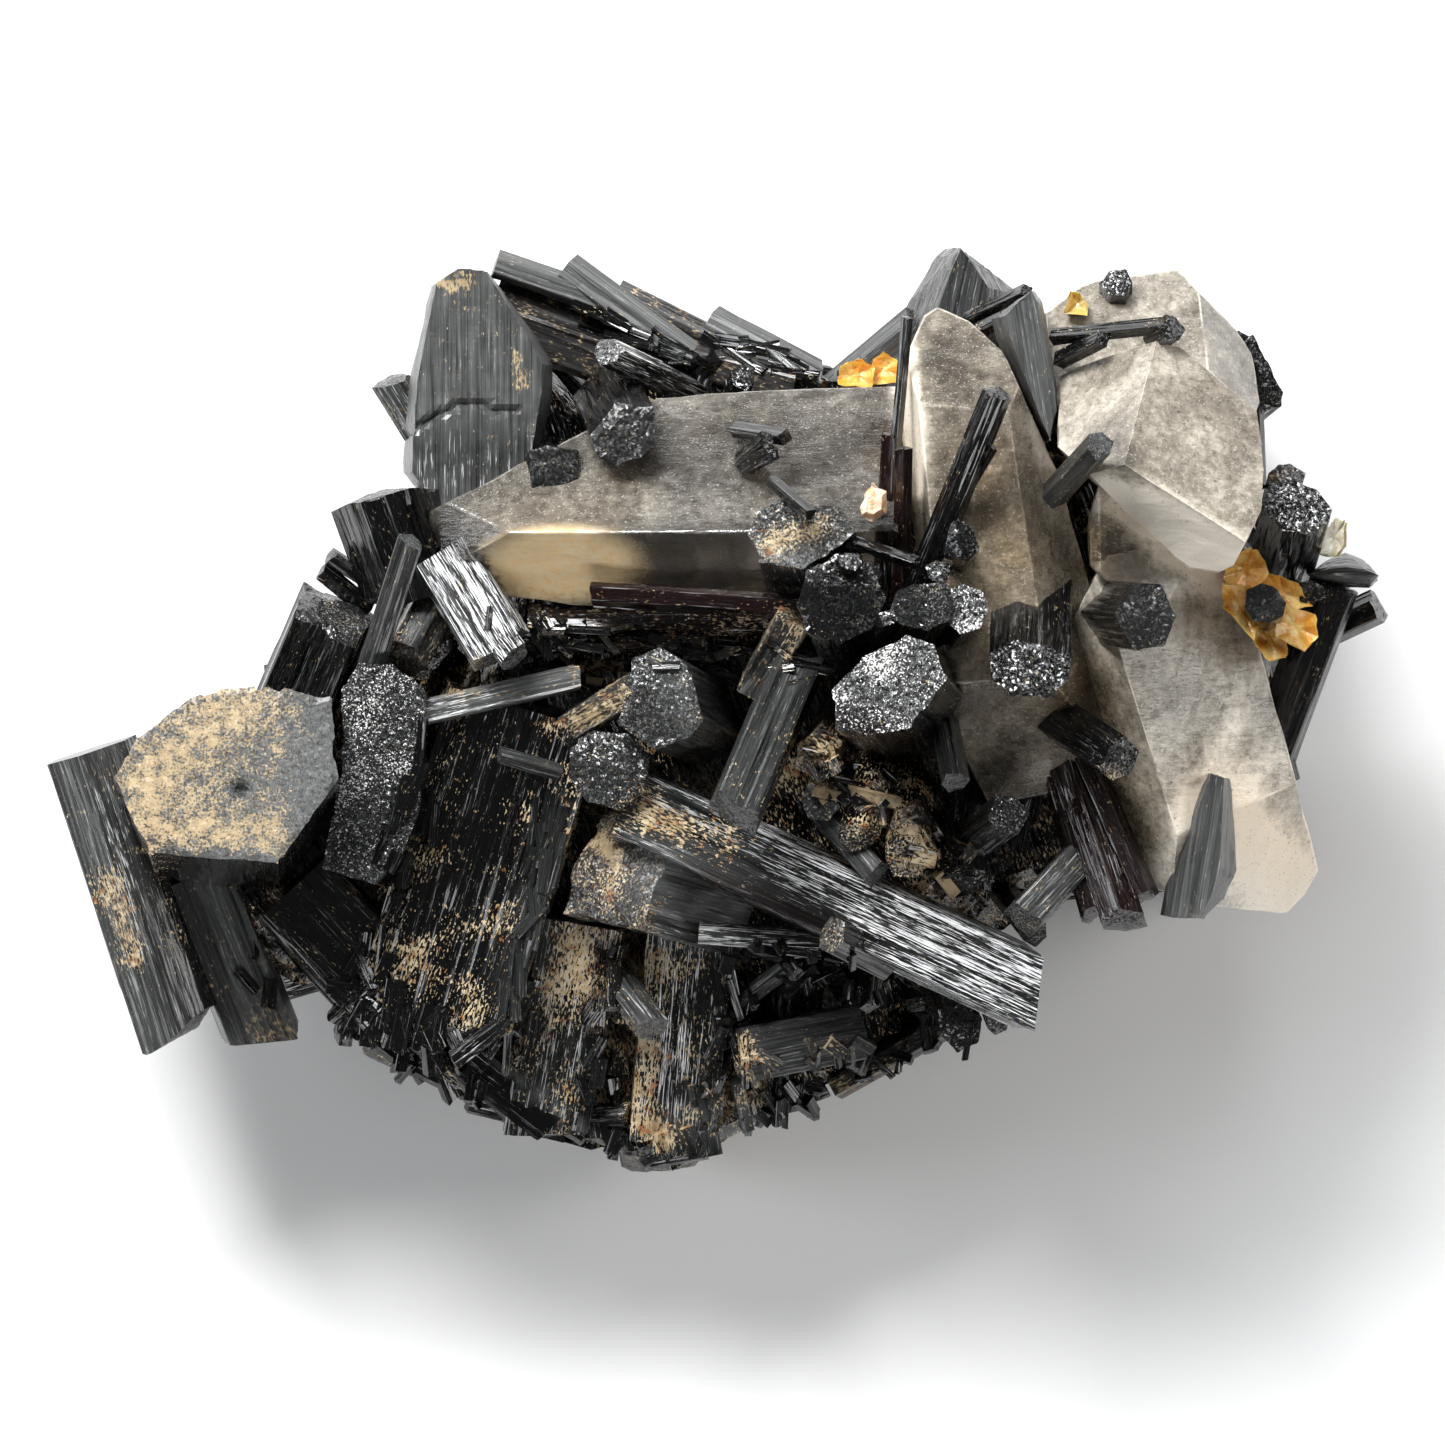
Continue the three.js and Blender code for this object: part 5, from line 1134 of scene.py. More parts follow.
def lay_faceted(shell, made, axis, look, end_look, relief, seed, rng, name=""):
    """Adds a sliced convex mesh to a shell, with grooves that run along the axis."""
    axis = Vector(axis).normalized()
    bmesh.ops.triangulate(made, faces=made.faces)
    made.normal_update()
    made.verts.index_update()
    points = np.array([vert.co[:] for vert in made.verts])
    normals = np.array([vert.normal[:] for vert in made.verts])
    lengthwise = points @ np.array(axis)
    across = points - lengthwise[:, None] * np.array(axis)
    groove = np.array([noise.noise(Vector((p[0] * 2.4, p[1] * 2.4, p[2] * 2.4 + seed))) for p in across])
    rough = np.array([noise.noise(Vector(p) * 1.1 + Vector((seed, 0, 0))) for p in points])
    along_axis = abs(normals @ np.array(axis)) > 0.7
    depth = np.where(along_axis, rng.uniform(0, 1, len(points)), 0.5 + groove * 0.9) * relief
    depth += relief * 0.6 * (0.5 + rough) + depth_of_cracks(name, points)
    start = shell.add_points(points - normals * depth[:, None])
    for flag, worn in ((0.0, look), (1.0, end_look)):
        faces, grain = [], []
        for face in made.faces:
            if (abs(face.normal.dot(axis)) > 0.7) != bool(flag):
                continue
            sideways = axis.cross(face.normal) if not flag else Vector((1, 0, 0))
            upward = axis if not flag else Vector((0, 1, 0))
            faces.append([vert.index for vert in face.verts])
            grain += [[vert.co.dot(sideways), vert.co.dot(upward), seed] for vert in face.verts]
        if faces:
            local = np.arange(len(faces) * 3).reshape(-1, 3)
            places = start + np.array(faces).ravel()
            shell.add_patch(local, places, np.array(grain), worn, flag)
    made.free()


def grow_outlined(shell, row, index, settings):
    """A prism outlined on the view plane, with a narrower front and back face along its axis."""
    name, outline, along, height, thick, crown = row
    rng = np.random.default_rng(5000 + index)
    direction = np.array(along, float) / np.linalg.norm(along)
    across = np.array([-direction[1], direction[0]])
    centre = centre_of(outline)
    offset = np.array(outline, float) - centre
    narrowed = centre + (offset @ direction)[:, None] * direction
    narrowed += (offset @ across)[:, None] * crown * across
    corners = [(x, y, height) for x, y in outline]
    corners += [(x, y, height + thick / 2) for x, y in narrowed]
    corners += [(x, y, height - thick / 2) for x, y in narrowed]
    made = convex_mesh(corners)
    sliced(made, (across[0], across[1], 0), settings.band / MM, rng)
    sliced(made, (0, 0, 1), 0.6, rng)
    sliced(made, (direction[0], direction[1], 0), 0.3 if name in CRACKS else 0.9, rng)
    look, end_look = looks_of(name)
    lay_faceted(shell, made, (*direction, 0), look, end_look, 0.09, 900.0 + index, rng, name)


def grow_mass(shell, row, index):
    """A lump of the intergrown mass, roughened."""
    name, outline, height, top_height, top_share, table_share = row
    rng = np.random.default_rng(6000 + index)
    corners = [(x, y, height) for x, y in outline]
    corners += [(x, y, top_height) for x, y in resized(outline, top_share)]
    corners += [(x, y, 0.0) for x, y in resized(outline, table_share)]
    made = convex_mesh(corners)
    for direction in ((1, 0.35, 0), (-0.35, 1, 0), (0, 0, 1)):
        sliced(made, direction, 1.1, rng)
    look = LOOKS["speckled"]
    lay_faceted(shell, made, (0.35, -1, 0), look, look, 0.5, 40.0 + index, rng)


def filler_rows(row, index):
    """Short laths half buried in the top and sides of a lump of the mass."""
    name, outline, height, top_height, top_share, table_share = row
    rng = np.random.default_rng(8000 + index)
    rows = []
    widest = counter_clockwise(outline)
    while len(rows) < LATHS_IN_LUMP:
        level = rng.uniform(2.0, top_height + 0.2)
        if level > height:
            share = 1 + (top_share - 1) * (level - height) / (top_height - height)
        else:
            share = table_share + (1 - table_share) * level / height
        spread = share * (rng.uniform(0.25, 0.9) if level > top_height - 0.6 else 0.9)
        ring = resized(outline, spread)
        start = int(rng.integers(len(ring)))
        place = ring[start] + (ring[(start + 1) % len(ring)] - ring[start]) * rng.random()
        heading = math.radians(-75 + rng.normal(0, 45))
        length, width = rng.uniform(2.0, 5.5), rng.uniform(0.6, 1.9)
        reach = np.array([math.cos(heading), math.sin(heading)]) * length / 2
        tilt = rng.uniform(-1.0, 1.0)
        width = min(width, 2 * level - 0.2)
        if not inside(np.array([place + reach, place - reach]), widest, 0.2).all():
            continue
        rows.append([
            "lath", [*(place - reach), max(level - tilt - 0.3, width / 2)],
            [*(place + reach), max(level + tilt - 0.3, width / 2)], width, width, rng.uniform(0, 60),
        ])
    return rows


def height_at(ground, place):
    """The height of the solid under a place of the display face, or None beside it."""
    above = in_metres([place[0], place[1], QUARTZ_TOP + 20.0])
    hit = ground.ray_cast(Vector(above), Vector((0, 0, -1)))[0]
    return None if hit is None else hit.z / MM


def splinter_rows(ground):
    """Rows for the splinters, each laid on what is under its two ends."""
    rows = []
    for number, (start, end, count, heading, spread, lengths, widths, *name) in enumerate(SPLINTERS):
        rng = np.random.default_rng(7000 + number)
        start, end = np.array(start, float), np.array(end, float)
        for _ in range(count):
            place = start + (end - start) * rng.random() + rng.normal(0, 0.7, 2)
            angle = math.radians(heading + rng.normal(0, spread))
            length, width = rng.uniform(*lengths), rng.uniform(*widths)
            reach = np.array([math.cos(angle), math.sin(angle)]) * length / 2
            low, high = height_at(ground, place - reach), height_at(ground, place + reach * 0.4)
            if low is None or high is None or abs(low - high) > 0.8 * length:
                continue
            sunk = 0.12 * width
            rows.append([
                name[0] if name else "splinter",
                [*(place - reach), low - sunk],
                [*(place + reach), 1.4 * high - 0.4 * low - sunk],
                width, width, rng.uniform(0, 60),
            ])
    return rows


def rim_rows():
    """Rows for the shorter prisms round the broken sides, in two storeys, the upper one a third as dense."""
    rows = []
    centre = centre_of(RIM)
    for storey, level in enumerate(RIM_LEVELS):
        for place, (x, y) in enumerate(RIM):
            if storey > 0 and place % 3 > 0:
                continue
            index = storey * len(RIM) + place
            swing = math.radians((chance(index + 200) - 0.5) * 2 * RIM_SWING)
            heading = math.atan2(y - centre[1], x - centre[0]) + swing
            inset = RIM_INSET[0] + RIM_INSET[1] * chance(index + 300)
            tip = [x - math.cos(heading) * inset, y - math.sin(heading) * inset]
            root = [tip[0] - math.cos(heading) * RIM_LENGTH, tip[1] - math.sin(heading) * RIM_LENGTH]
            width = RIM_WIDTHS[0] + (RIM_WIDTHS[1] - RIM_WIDTHS[0]) * chance(index + 400)
            drop = 2.4 * (chance(index + 500) - 0.3)
            turn = 60 * chance(index + 600)
            rows.append(["rim", [*root, level + drop], [*tip, level - drop], width, width, turn])
    return rows


SIDE_GROUPS = {
    "left_wing": LEFT_WING,
    "upper_left_beams": UPPER_LEFT,
    "centre_crystals": CENTRE,
    "right_crystals": RIGHT_SIDE,
    "top_crystals": TOP,
    "bottom_crystals": BOTTOM,
    "rim_crystals": rim_rows(),
}


class Signal:
    """A shader socket that takes part in sums: each operator adds its Math node."""

    def __init__(self, finish, socket):
        self.finish, self.socket = finish, socket

    def __add__(self, other):
        return self.finish.math("ADD", self, other)

    def __radd__(self, other):
        return self.finish.math("ADD", other, self)

    def __sub__(self, other):
        return self.finish.math("SUBTRACT", self, other)

    def __rsub__(self, other):
        return self.finish.math("SUBTRACT", other, self)

    def __mul__(self, other):
        return self.finish.math("MULTIPLY", self, other)

    def __rmul__(self, other):
        return self.finish.math("MULTIPLY", other, self)

    def __truediv__(self, other):
        return self.finish.math("DIVIDE", self, other)

    def __pow__(self, other):
        return self.finish.math("POWER", self, other)


class Finish:
    """A material under construction."""

    def __init__(self, name):
        self.material = bpy.data.materials.new(name)
        self.material.use_nodes = True
        self.tree = self.material.node_tree
        self.tree.nodes.clear()

    def node(self, kind, settings=None, values=None):
        made = self.tree.nodes.new(kind)
        for key, value in (settings or {}).items():
            if key == "stops":
                while len(made.color_ramp.elements) < len(value):
                    made.color_ramp.elements.new(0.5)
                for element, (position, colour) in zip(made.color_ramp.elements, value):
                    element.position, element.color = position, (*colour, 1.0)
            else:
                setattr(made, key, value)
        for key, value in (values or {}).items():
            if isinstance(value, Signal):
                value = value.socket
            if isinstance(value, bpy.types.NodeSocket):
                self.tree.links.new(value, made.inputs[key])
            else:
                made.inputs[key].default_value = value
        return made

    def out(self, kind, output, settings=None, values=None):
        return Signal(self, self.node(kind, settings, values).outputs[output])

    def math(self, operation, *values, clamp=False):
        settings = {"operation": operation, "use_clamp": clamp}
        return self.out("ShaderNodeMath", 0, settings, dict(enumerate(values)))

    def vector(self, operation, *values, output=0):
        return self.out("ShaderNodeVectorMath", output, {"operation": operation}, dict(enumerate(values)))

    def attribute(self, name):
        return self.out("ShaderNodeAttribute", "Vector", {"attribute_name": name})

    def split(self, vector):
        made = self.node("ShaderNodeSeparateXYZ", values={0: vector})
        return [Signal(self, socket) for socket in made.outputs]

    def join(self, *values):
        return self.out("ShaderNodeCombineXYZ", 0, values=dict(enumerate(values)))

    def step(self, value, low, high):
        """0 below low, 1 above high and a soft step between."""
        settings = {"interpolation_type": "SMOOTHSTEP"}
        values = {"Value": value, "From Min": low, "From Max": high}
        return self.out("ShaderNodeMapRange", 0, settings, values)

    def mix(self, factor, first, second):
        """A colour between two."""
        first, second = ((*c, 1.0) if isinstance(c, tuple) and len(c) == 3 else c for c in (first, second))
        return self.out("ShaderNodeMix", 2, {"data_type": "RGBA"}, {0: factor, 6: first, 7: second})

    def noise(self, vector, scale, detail=2.0, roughness=0.5):
        values = {"Vector": vector, "Scale": scale, "Detail": detail, "Roughness": roughness}
        return self.out("ShaderNodeTexNoise", 0, values=values)

    def tilted_cells(self, vector, slope, dimensions="2D"):
        """Heights that lean each cell its own way, so that cells catch the light one by one."""
        settings = {"voronoi_dimensions": dimensions}
        made = self.node("ShaderNodeTexVoronoi", settings, {"Vector": vector, "Scale": 1.0})
        lean = self.vector("SUBTRACT", Signal(self, made.outputs["Color"]), (0.5, 0.5, 0.5))
        away = self.vector("SUBTRACT", vector, Signal(self, made.outputs["Position"]))
        return self.vector("DOT_PRODUCT", lean, away, output=1) * slope

    def bump(self, height):
        """The normal of a surface raised by a height in millimetres."""
        return self.out("ShaderNodeBump", 0, values={"Height": height, "Distance": MM})

    def surface(self, shader, volume=None):
        output = self.node("ShaderNodeOutputMaterial", values={"Surface": shader})
        if volume is not None:
            self.tree.links.new(volume.socket, output.inputs["Volume"])
        return self.material


def schorl_finish():
    """Near-black tourmaline: striated sides, sugary ends, flecks of clay along the grain, and glints painted into the
    colour as bright streaks and specks.
    """
    colours = bpy.context.scene.schorl
    finish = Finish("striated_schorl")
    grain, wear, skin, film = (finish.attribute(name) for name in ("grain", "wear", "skin", "film"))
    clay, gloss, red = finish.split(wear)
    end, sugar, pale = finish.split(skin)
    tan, silver, _ = finish.split(film)
    place = finish.out("ShaderNodeTexCoord", "Object")
    scale = finish.mix(end, (5.4, 0.2, 1.0), (7.0, 7.0, 1.0))
    coarse = finish.vector("MULTIPLY", grain, scale)
    # The cells are flat, so each crystal's seed moves them along it
    seed = finish.split(grain)[2]
    flat = finish.vector("ADD", coarse, finish.join(seed * 3.7, seed * 1.9, seed * -1.0))
    facets = finish.tilted_cells(flat, 1.0)
    glints = finish.tilted_cells(finish.vector("MULTIPLY", flat, (2.3, 2.9, 1.0)), 0.42)
    lines = finish.noise(finish.vector("MULTIPLY", coarse, (2.6, 0.6, 1.0)), 1.0, 1.0, 0.7)
    bands = finish.noise(finish.vector("MULTIPLY", coarse, (0.36, 0.5, 1.0)), 1.0, 2.0, 0.75)
    # Clay lies in small flecks, drawn out along the grain on the sides
    flecks = finish.noise(finish.vector("MULTIPLY", grain, finish.mix(end, (7.5, 2.6, 1.0), (6.0, 6.0, 1.0))),
                          1.0, 2.0, 0.65)
    patches = finish.noise(place, 420.0, 1.0, 0.5)
    bed = flecks * 0.66 + patches * 0.34
    clay_mask = finish.step(bed + clay * 0.19, 0.69, 0.72)
    hue = finish.noise(place, 1300.0, 1.0, 0.6)
    ochre = finish.mix(finish.step(hue, 0.4, 0.62), tuple(colours.clay), (0.56, 0.45, 0.29))
    ochre = finish.mix(finish.step(hue, 0.4, 0.31), ochre, tuple(colours.rust))
    streaks = (bands - 0.5) * 1.7 + (lines - 0.5) * 1.5
    dust = finish.math("ADD", pale * 0.95, streaks * (0.14 + pale * 1.3), clamp=True)
    dark = finish.mix(dust, tuple(colours.black), tuple(colours.grey))
    dark = finish.mix(red, dark, tuple(colours.red))
    film_mask = finish.step(tan * 0.75 + (hue - 0.5) * 0.9 + (flecks - 0.5) * 1.9, 0.3, 0.66)
    dark = finish.mix(film_mask, dark, finish.mix(hue, (0.2, 0.14, 0.075), (0.56, 0.43, 0.25)))
    # Painted glints: thin bright streaks along the grain, painted into the colour where striae would catch the light
    glint_threads = finish.noise(finish.vector("MULTIPLY", coarse, (2.4, 3.4, 1.0)), 1.0, 2.0, 0.65)
    painted_glint_mask = finish.step(streaks * 0.4 + glint_threads + silver * 0.16 + gloss * 0.05, 0.73, 0.82)
    painted_glint_mask = painted_glint_mask * (1 - end * 0.8) * (0.15 + silver * 0.85) * (1 - red)
    dark = finish.mix(painted_glint_mask, dark, (0.85, 0.86, 0.87))
    # White specks on the sugary ends: partly pale grains of dust, partly painted glitter
    speck_and_glitter = finish.noise(place, 8200.0, 0.0, 0.5) + (patches - 0.5) * 0.7 + silver * 0.1
    dark = finish.mix(finish.step(speck_and_glitter, 0.7, 0.76) * end * sugar ** 2.0, dark, (0.8, 0.8, 0.78))
    base = finish.mix(clay_mask, dark, ochre)
    roughness = 0.31 - gloss * 0.24 + lines * 0.08 + dust * 0.2 + clay_mask * 0.35
    facet_rise = (0.06 + gloss * 0.05) * (1 - end * 0.7) + end * sugar * 0.13
    glint_rise = (0.02 + gloss * 0.05) * (1 - end * (0.85 - sugar * 0.85))
    height = facets * facet_rise + glints * glint_rise
    shader = finish.out("ShaderNodeBsdfPrincipled", 0, values={
        "Base Color": base, "Roughness": finish.math("MULTIPLY", roughness, 1.0, clamp=True), "IOR": 1.64,
        "Specular IOR Level": 0.5, "Normal": finish.bump(height),
    })
    return finish.surface(shader)


def face_place(finish):
    """The place on the display face in millimetres."""
    place = finish.out("ShaderNodeTexCoord", "Object")
    moved = finish.vector("MULTIPLY", place, (1 / MM, 1 / MM, 1 / MM))
    return finish.vector("SUBTRACT", moved, tuple(FACE_ORIGIN))


def quartz_finish(name, wedge):
    """Smoky quartz: a frosted skin over clear crystal, milky where it holds inclusions."""
    colours = bpy.context.scene.quartz
    finish = Finish(name)
    place = face_place(finish)
    x, y, z = finish.split(place)
    tone, warmth, clear_share = finish.split(finish.attribute("tint"))
    clouds = finish.noise(place, 0.3, 2.0, 0.6)
    mottle = finish.noise(place, 1.7, 2.0, 0.7)
    specks = finish.noise(place, 7.0, 1.0, 0.6)
    ripples = finish.noise(finish.vector("MULTIPLY", place, (0.6, 3.5, 1.4)), 1.2, 2.0, 0.7)
    # The tone carries the painted light and shade of some quartz strokes as well as the frost's own tone
    level = tone + (clouds - 0.5) * 0.65 + (mottle - 0.5) * 0.6 + (ripples - 0.5) * 0.14
    frost = finish.out("ShaderNodeValToRGB", 0, {"stops": [
        (0.0, (0.03, 0.028, 0.025)), (0.35, (0.14, 0.13, 0.115)), (0.65, (0.36, 0.34, 0.3)),
        (1.0, (0.84, 0.81, 0.75)),
    ]}, {0: level})
    frost = finish.vector("MULTIPLY", frost, finish.mix(warmth, (1.0, 0.99, 0.97), (1.1, 0.86, 0.56)))
    pits = finish.step(specks + level * 0.05, 0.66, 0.73)
    frost = finish.mix(pits * 0.6, frost, (0.8, 0.78, 0.74))
    dirt = finish.step(specks + level * 0.06, 0.4, 0.33)
    frost = finish.mix(dirt * 0.6, frost, (0.05, 0.042, 0.03))
    clearness = clear_share + 0.22 - level * 0.3
    if wedge:
        # The milky cloud lies low in the wedge, cut off to the left by an inner plane
        warp = (mottle - 0.5) * 1.2
        away = ((x + 9.6) / 5.4) ** 2.0 + ((y - 9.4 + warp * 0.3) / 2.5) ** 2.0
        beyond = finish.step(x * 0.87 + y * 0.5 + 7.5 + warp, -0.3, 0.3)
        cloud = (1 - finish.step(away, 0.3, 1.25)) * beyond
        # The cloud is painted brighter than it is: partly painted light for the shade on this face
        frost = finish.mix(cloud, frost, tuple(colours.cream))
        frost = finish.mix(cloud * finish.step(mottle, 0.4, 0.6) * 0.4, frost, (0.95, 0.85, 0.62))
        clearness = clearness * (1 - cloud * 0.85)
    roughness = mottle * 0.26 + 0.06
    normal = finish.bump(ripples * 0.03 + specks * 0.012)
    skin = finish.out("ShaderNodeBsdfPrincipled", 0, values={
        "Base Color": frost, "Roughness": roughness + 0.12, "IOR": 1.54, "Normal": normal,
    })
    clear = finish.out("ShaderNodeBsdfPrincipled", 0, values={
        "Base Color": (1.0, 0.98, 0.95, 1.0), "Roughness": roughness * 0.8, "IOR": 1.54,
        "Transmission Weight": 1.0, "Normal": normal,
    })
    both = finish.out("ShaderNodeMixShader", 0, values={
        0: finish.math("MULTIPLY", clearness, 1.0, clamp=True), 1: skin, 2: clear,
    })
    smoke = finish.out("ShaderNodeVolumeAbsorption", 0, values={
        "Color": (*colours.smoke, 1.0), "Density": colours.smoke_density,
    })
    return finish.surface(both, smoke)


def mica_finish(name, amber, light):
    """Mica: glossy, half see-through leaves with rusty and pale patches."""
    finish = Finish(name)
    place = face_place(finish)
    patches = finish.noise(place, 1.1, 4.0, 0.6)
    flakes = finish.noise(place, 6.0, 3.0, 0.6)
    colour = finish.mix(finish.step(patches, 0.42, 0.62), amber, light)
    colour = finish.mix(finish.step(flakes, 0.6, 0.7), colour, tuple(channel * 0.5 for channel in amber))
    height = finish.tilted_cells(finish.vector("MULTIPLY", place, (2.0, 2.0, 2.0)), 0.1, "3D") + flakes * 0.05
    shader = finish.out("ShaderNodeBsdfPrincipled", 0, values={
        "Base Color": colour, "Roughness": 0.1 + flakes * 0.24, "IOR": 1.58, "Normal": finish.bump(height),
        "Specular IOR Level": 0.8, "Transmission Weight": 0.15,
        "Subsurface Weight": 0.3, "Subsurface Radius": (1.0, 0.5, 0.15), "Subsurface Scale": MM,
    })
    return finish.surface(shader)


def crust_finish():
    """A soft pale cream crust, orange in the middle."""
    finish = Finish("cream_crust")
    place = face_place(finish)
    grains = finish.noise(place, 1.6, 3.0, 0.55)
    crust = tuple(bpy.context.scene.mica.crust)
    base = finish.mix(finish.step(grains, 0.46, 0.62), (0.72, 0.58, 0.44), crust)
    shader = finish.out("ShaderNodeBsdfPrincipled", 0, values={
        "Base Color": base, "Roughness": 0.45 + grains * 0.2, "Normal": finish.bump(grains * 0.2),
        "Subsurface Weight": 0.3, "Subsurface Radius": (1.0, 0.6, 0.4), "Subsurface Scale": MM,
    })
    return finish.surface(shader)


def linked(name, mesh, material):
    """A piece of that mesh and material."""
    mesh.materials.append(material)
    piece = bpy.data.objects.new(name, mesh)
    bpy.context.scene.collection.objects.link(piece)
    return piece


def mesh_of(name, points, faces):
    """A mesh from points in millimetres on the display face."""
    mesh = bpy.data.meshes.new(name)
    mesh.from_pydata([tuple(point) for point in in_metres([point[:] for point in points])], [], faces)
    return mesh


def add_faces(made, points, faces, push):
    """Adds a mesh to the points and faces, each point pushed in along its normal."""
    bmesh.ops.triangulate(made, faces=made.faces)
    made.normal_update()
    made.verts.index_update()
    start = len(points)
    for vert in made.verts:
        points.append(vert.co - vert.normal * push(vert.co))
    faces += [[start + vert.index for vert in face.verts] for face in made.faces]


def finished(piece, nodes):
    """Fixes a piece to the frame, in place of CAD nodes."""
    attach(piece, "root")
    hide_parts(*nodes)


def finished_schorl(shell, name, node="schorl_cluster"):
    """Makes the piece of a shell of schorl, in place of a CAD node."""
    finished(shell.build(name, shared_material("striated_schorl", schorl_finish)), [node])


def shared_material(name, make):
    return bpy.data.materials.get(name) or make()


class SPECIMEN_OT_prisms(bpy.types.Operator):
    """Grow the tourmaline prisms of the cluster"""

    bl_idname = "specimen.prisms"
    bl_label = "Tourmaline prisms"

    def execute(self, context):
        settings = context.scene.schorl
        index = 0
        for name, rows in SIDE_GROUPS.items():
            shell = Shell()
            for row in rows:
                grow_prism(shell, row, index, settings)
                index += 1
            finished_schorl(shell, name)
        for name, rows, grow in (
            ("end_on_crystals", END_ON, grow_end_on), ("broad_crystals", OUTLINED, grow_outlined),
        ):
            shell = Shell()
            for number, row in enumerate(rows):
                grow(shell, row, number, settings)
            finished_schorl(shell, name)
        return {"FINISHED"}


class SPECIMEN_OT_mass(bpy.types.Operator):
    """Build the broken mass under the prisms"""

    bl_idname = "specimen.mass"
    bl_label = "Intergrown mass"

    def execute(self, context):
        settings = context.scene.schorl
        shell = Shell()
        for number, row in enumerate(MASS):
            grow_mass(shell, row, number)
        finished_schorl(shell, "broken_mass")
        shell = Shell()
        index = FIRST_LATH
        for number, row in enumerate(MASS):
            for lath in filler_rows(row, number):
                grow_prism(shell, lath, index, settings)
                index += 1
        finished_schorl(shell, "mass_laths")
        solid = bpy.data.objects["schorl_cluster"].data
        ground = BVHTree.FromPolygons(
            [vert.co for vert in solid.vertices], [face.vertices for face in solid.polygons],
        )
        shell = Shell()
        for splinter in splinter_rows(ground):
            grow_prism(shell, splinter, index, settings)
            index += 1
        finished_schorl(shell, "splinters")
        return {"FINISHED"}


class SPECIMEN_OT_carried(bpy.types.Operator):
    """Grow the small prisms that the quartz carries"""

    bl_idname = "specimen.carried"
    bl_label = "Prisms on the quartz"

    def execute(self, context):
        settings = context.scene.schorl
        for node, rows in ON_QUARTZ.items():
            shell = Shell()
            for number, row in enumerate(rows):
                grow_prism(shell, row, FIRST_ON_QUARTZ + number, settings)
            finished_schorl(shell, node.replace("schorl_", "") + "_crystals", node)
        shell = Shell()
        grow_end_on(shell, STUB_ON_QUARTZ, LONE_CRYSTAL, settings)
        finished_schorl(shell, "stub_on_quartz", "schorl_stub_right")
        shell = Shell()
        grow_outlined(shell, CORNER_PRISM, LONE_CRYSTAL, settings)
        finished_schorl(shell, "prism_in_corner", "schorl_corner_prism")
        return {"FINISHED"}


def quartz_crystal(row, rng):
    """A quartz crystal with its faces cut, edges rounded and sides divided."""
    outline = row["outline"]
    corners = [(x, y, QUARTZ_TOP) for x, y in outline]
    corners += [(x, y, row["shoulder"]) for x, y in outline]
    corners += [(x, y, row["foot"]) for x, y in resized(outline, row["foot_share"])]
    made = convex_mesh(corners)
    for first, second, third in row["faces"]:
        first = Vector(first)
        normal = (Vector(second) - first).cross(Vector(third) - first).normalized()
        if normal.z < 0:
            normal.negate()
        cut = bmesh.ops.bisect_plane(
            made, geom=made.verts[:] + made.edges[:] + made.faces[:], plane_co=first, plane_no=normal,
            clear_outer=True, dist=1e-5,
        )
        rim = [item for item in cut["geom_cut"] if isinstance(item, bmesh.types.BMEdge)]
        bmesh.ops.contextual_create(made, geom=rim)
    bmesh.ops.recalc_face_normals(made, faces=made.faces)
    bevel = bmesh.ops.bevel(
        made, geom=made.edges[:], offset=bpy.context.scene.quartz.edge / MM, segments=2, profile=0.6,
        affect="EDGES", clamp_overlap=True,
    )
    rubbed_and_lit, layer = set(bevel["faces"]), made.verts.layers.float.new("rubbed_and_lit")
    for vert in made.verts:
        vert[layer] = float(rubbed_and_lit.issuperset(vert.link_faces))
    for direction in ((1, 0, 0), (0, 1, 0), (0, 0, 1)):
        sliced(made, direction, 0.7, rng)
    return made


def quartz_tint(points, rubbed_and_lit, tone):
    """Tone, warmth and clearness of the quartz at each point of a crystal, paler on its rounded edges, partly for their
    rubbed frosting and partly as a painted highlight.
    """
    tint = np.array(QUARTZ_TONES[tone]) + rubbed_and_lit[:, None] * RUBBED_AND_LIT
    for channel, amount, start, end, radius in QUARTZ_STROKES:
        tint[:, QUARTZ_CHANNELS.index(channel)] += amount * stroke_at(points, start, end, radius)
    return tint


def quartz_dent(place):
    """How far a point of the quartz sinks, so that its faces are gently uneven."""
    return 0.06 + noise.noise(place * 0.45) * 0.1 + noise.noise(place * 1.6) * 0.035


def build_quartz(name, rows, material):
    points, faces, tints = [], [], []
    for number, row in enumerate(rows):
        rng = np.random.default_rng(9000 + number)
        made = quartz_crystal(row, rng)
        add_faces(made, points, faces, quartz_dent)
        layer = made.verts.layers.float["rubbed_and_lit"]
        # How much each point gets of the edges' paleness, which is partly a painted highlight
        rubbed_and_lit = np.array([
            vert[layer] * max(0.1, 0.5 + noise.noise(vert.co * 0.4) * 1.6) for vert in made.verts
        ])
        tints.append(quartz_tint(np.array([vert.co[:] for vert in made.verts]), rubbed_and_lit, row["tone"]))
        made.free()
    mesh = mesh_of(name, points, faces)
    attribute = mesh.attributes.new("tint", "FLOAT_VECTOR", "POINT")
    attribute.data.foreach_set("vector", np.concatenate(tints).astype(np.float32).ravel())
    return linked(name, mesh, material)


class SPECIMEN_OT_quartz(bpy.types.Operator):
    """Cut the smoky quartz crystals"""

    bl_idname = "specimen.quartz"
    bl_label = "Smoky quartz"

    def execute(self, context):
        left = build_quartz("quartz_wedge", QUARTZ_LEFT, quartz_finish("smoky_quartz_wedge", True))
        finished(left, ["smoky_quartz_left"])
        right = build_quartz("quartz_group", QUARTZ_RIGHT, quartz_finish("smoky_quartz_group", False))
        finished(right, ["smoky_quartz_right"])
        return {"FINISHED"}


